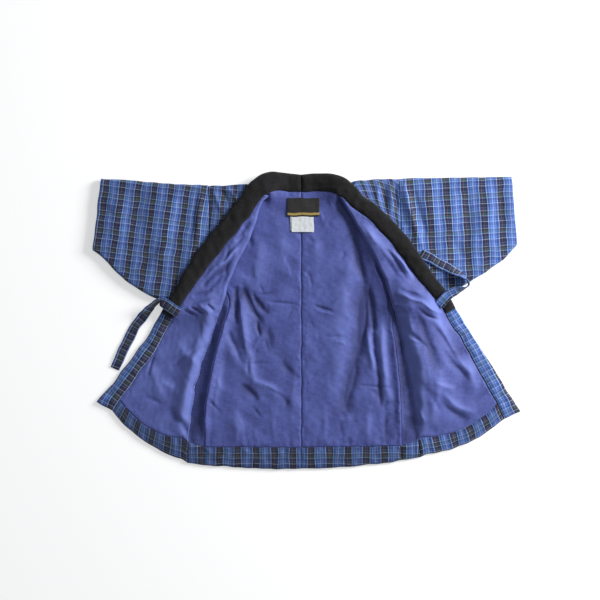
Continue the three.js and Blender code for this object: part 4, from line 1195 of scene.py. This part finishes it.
# Ties: a strip swept along a centripetal Catmull-Rom line, turned about the line by its lean
def tieLine(path, steps):
    points = grid(path["x"], path["y"], path["z"])
    points = np.concatenate([[2 * points[0] - points[1]], points, [2 * points[-1] - points[-2]]])
    place = np.linspace(0, len(path["x"]) - 1, steps)
    index = np.minimum(place.astype(int), len(path["x"]) - 2)
    t = (place - index)[:, None]
    p0, p1, p2, p3 = (points[index + offset] for offset in range(4))
    d0, d1, d2 = (np.sqrt(np.linalg.norm(b - a, axis=1))[:, None] for a, b in ((p0, p1), (p1, p2), (p2, p3)))
    leaving = ((p1 - p0) / d0 - (p2 - p0) / (d0 + d1) + (p2 - p1) / d1) * d1
    arriving = ((p2 - p1) / d1 - (p3 - p1) / (d1 + d2) + (p3 - p2) / d2) * d1
    c2, c3 = -3 * p1 + 3 * p2 - 2 * leaving - arriving, 2 * p1 - 2 * p2 + leaving + arriving
    middle = p1 + leaving * t + c2 * t**2 + c3 * t**3
    ahead = leaving + 2 * c2 * t + 3 * c3 * t**2
    lean = np.radians(mix(path["lean"][index], path["lean"][index + 1], ease(t[:, 0])))[:, None]
    return middle, ahead / np.linalg.norm(ahead, axis=1)[:, None], lean


def makeTie(label, path, darkAt, seed, restsOn):
    middle, ahead, lean = tieLine(path, 150)
    flat = np.stack([-ahead[:, 1], ahead[:, 0], 0 * ahead[:, 0]], axis=1)
    flat /= np.linalg.norm(flat, axis=1)[:, None]
    side = flat * np.cos(lean) + np.cross(ahead, flat) * np.sin(lean)
    up = np.cross(ahead, side)
    along = np.cumsum(np.insert(np.linalg.norm(np.diff(middle, axis=0), axis=1), 0, 0))
    across = np.sin(np.linspace(-np.pi / 2, np.pi / 2, 15))
    endFull = rounded(np.minimum(along, along[-1] - along), 1.2)[:, None]
    half = cloth["tieThick"] / 2 * rounded(9 * (1 - np.abs(across)), 1.2) * endFull
    ripple = 0.5 * softNoise(along[:, None] + 0 * across, 9 * across + 0 * along[:, None], 24, seed)
    centre = (middle[:, None] + side[:, None] * (across * cloth["tieWidth"] / 2)[:, None]
              + up[:, None] * ripple[..., None])
    upper, lower = centre + up[:, None] * half[..., None], centre - up[:, None] * half[..., None]
    points = np.concatenate([upper.reshape(-1, 3), lower.reshape(-1, 3)])
    points[:, 2] = np.maximum(points[:, 2], 0.15)
    sheet, under, strips = wallFaces(*centre.shape[:2])
    away = np.broadcast_to(across * cloth["tieWidth"] / 2, centre.shape[:2])
    length = np.broadcast_to(along[:, None], away.shape)
    dark = mix(darkAt[0], darkAt[1], ease((length / along[-1] - 0.5) / 0.06))
    places = np.concatenate([stripAcross(away, length, dark).reshape(-1, 2),
                             stripAcross(away, length, dark + 15).reshape(-1, 2)])
    # each tie carries one value all over: painted light on the left tie, painted shade on the right one
    piece = makeObject("tie" + label, points, [sheet, strips, under], [checkedCotton] * 3, places,
                       np.full(len(points), outerPaintedLight["tie" + label]))
    return declare(piece, f"tie_{label.lower()}")


# Labels: thin patches on the back's upper face
labels = {
    "neckLabel": {"node": "neck_label", "slot": "label_black", "x": labelMiddle[0],
                  "y": labelMiddle[1], "wide": 58, "high": 33, "thick": 0.9, "under": 0, "cloth": labelBlack},
    "careLabelBack": {"node": "care_label_back", "slot": "label_white", "x": -12.5, "y": 175,
                      "wide": 34, "high": 25, "thick": 0.6, "under": 0, "cloth": labelWhite},
    "careLabel": {"node": "care_label", "slot": "label_white", "x": -7.5, "y": 173.5,
                  "wide": 40, "high": 27, "thick": 0.6, "under": 0.9, "cloth": labelWhite},
}


def makeLabel(name, values, seed):
    share = spacedShares(values["wide"], 22, rimLines * 0.3)[0][None, :]
    down = spacedShares(values["high"], 14, rimLines * 0.3)[0][:, None]
    x = values["x"] + (share - 0.5) * values["wide"] + 0 * down
    y = values["y"] + (0.5 - down) * values["high"] + 0 * share
    base = np.full(x.shape, legLow + values["under"]) + 0.9 + 0.25 * softNoise(x, y, 26, seed)
    places = grid((share + 0 * down) * values["wide"], (1 - down + 0 * share) * values["high"])
    piece = lyingWall(name, x, y, base, values["thick"], 0 * x, seed, [values["cloth"]] * 3, places, 0)
    return declare(piece, values["node"])


sides = [
    {"label": "Right", "sign": -1, "front": rightFront, "neck": rightNeck, "back": rightBack,
     "top": rightTop, "sleeve": rightSleeve, "hem": rightHem, "collarEnd": 0.62, "tieUnder": None,
     "edgeDark": 7.5, "seed": 10},
    {"label": "Left", "sign": 1, "front": leftFront, "neck": leftNeck, "back": leftBack,
     "top": leftTop, "sleeve": leftSleeve, "hem": leftHem, "collarEnd": 0.608, "tieUnder": leftTiePath,
     "edgeDark": -4, "seed": 110},
]
for side in sides:
    label, sign, seed = side["label"], side["sign"], side["seed"]
    front, neck, sleeve = side["front"], side["neck"], side["sleeve"]
    makeBack(label, side["back"], side["top"], neck, sign, seed)
    makeGusset(label, side["back"], front, sleeve, sign, seed + 20)
    makeFront(label, front, sleeve, sign, seed + 30)
    makeSleeve(label, sleeve, sign, seed + 40)
    makeCollar(label, front, neck, sleeve, sign, side["collarEnd"], side["tieUnder"], seed + 50)
    makeFrontEdge(label, front, neck, sleeve, sign, side["collarEnd"], seed + 60, side["edgeDark"])
    makeHems(label, side["back"], front, sleeve, side["hem"], sign, seed + 70)
    print(label, "side made")

# where the dark stripe lies across each half of a tie, and what the tie rests on
ties = {
    "Right": {"path": rightTiePath, "darkAt": (2, 2), "seed": 301,
              "restsOn": ["collarRight", "frontEdgeRight"]},
    "Left": {"path": leftTiePath, "darkAt": (-10, 0), "seed": 311,
             "restsOn": ["collarLeft", "sleeveLeft"]},
}
for label, values in ties.items():
    makeTie(label, **values)
for order, (name, values) in enumerate(labels.items()):
    makeLabel(name, values, 320 + order)
print("ties and labels made")

# Floor, camera and lights: the camera looks straight down with the neck at the top of the picture
room = {
    "floor": {"Base Color": (0.55, 0.55, 0.555, 1), "Roughness": 0.9, "Emission Color": (1, 1, 1, 1),
              "Emission Strength": 0.5},
    "air": {"Color": (0.94, 0.97, 1, 1), "Strength": 0.24},
}
view = {"width": 1.08, "height": 4.0, "x": -0.0122, "y": 0.0366, "sensor": 36}
bpy.ops.mesh.primitive_plane_add(size=14, location=(0, 0, -0.0004))
floor = bpy.context.object
floor.name = "floor"
paper = bpy.data.materials.new("paleFloor")
paper.use_nodes = True
setSockets(paper.node_tree.nodes["Principled BSDF"], room["floor"])
floor.data.materials.append(paper)

lens = bpy.data.cameras.new("above")
lens.sensor_width = view["sensor"]
lens.lens = view["sensor"] * view["height"] / view["width"]
camera = bpy.data.objects.new("above", lens)
camera.location = (view["x"], view["y"], view["height"])
bpy.context.scene.collection.objects.link(camera)
bpy.context.scene.camera = camera

lamps = [   # place, size, power
    {"name": "key", "place": (2.25, 1.1, 1.25), "size": 1.1, "power": 138},
    {"name": "top", "place": (0.3, 0.7, 3.4), "size": 2.4, "power": 12},
]
for lamp in lamps:
    light = bpy.data.lights.new(lamp["name"], "AREA")
    light.shape = "SQUARE"
    light.size = lamp["size"]
    light.energy = lamp["power"]
    holder = bpy.data.objects.new(lamp["name"], light)
    holder.location = lamp["place"]
    far = math.hypot(lamp["place"][0], lamp["place"][1])
    holder.rotation_euler = (math.atan2(far, lamp["place"][2]), 0,
                             math.atan2(lamp["place"][1], lamp["place"][0]) + math.pi / 2)
    bpy.context.scene.collection.objects.link(holder)
world = bpy.data.worlds.new("room")
world.use_nodes = True
setSockets(world.node_tree.nodes["Background"], room["air"])
bpy.context.scene.world = world
bpy.context.scene.view_settings.view_transform = "Standard"
print("floor, camera and lights made")
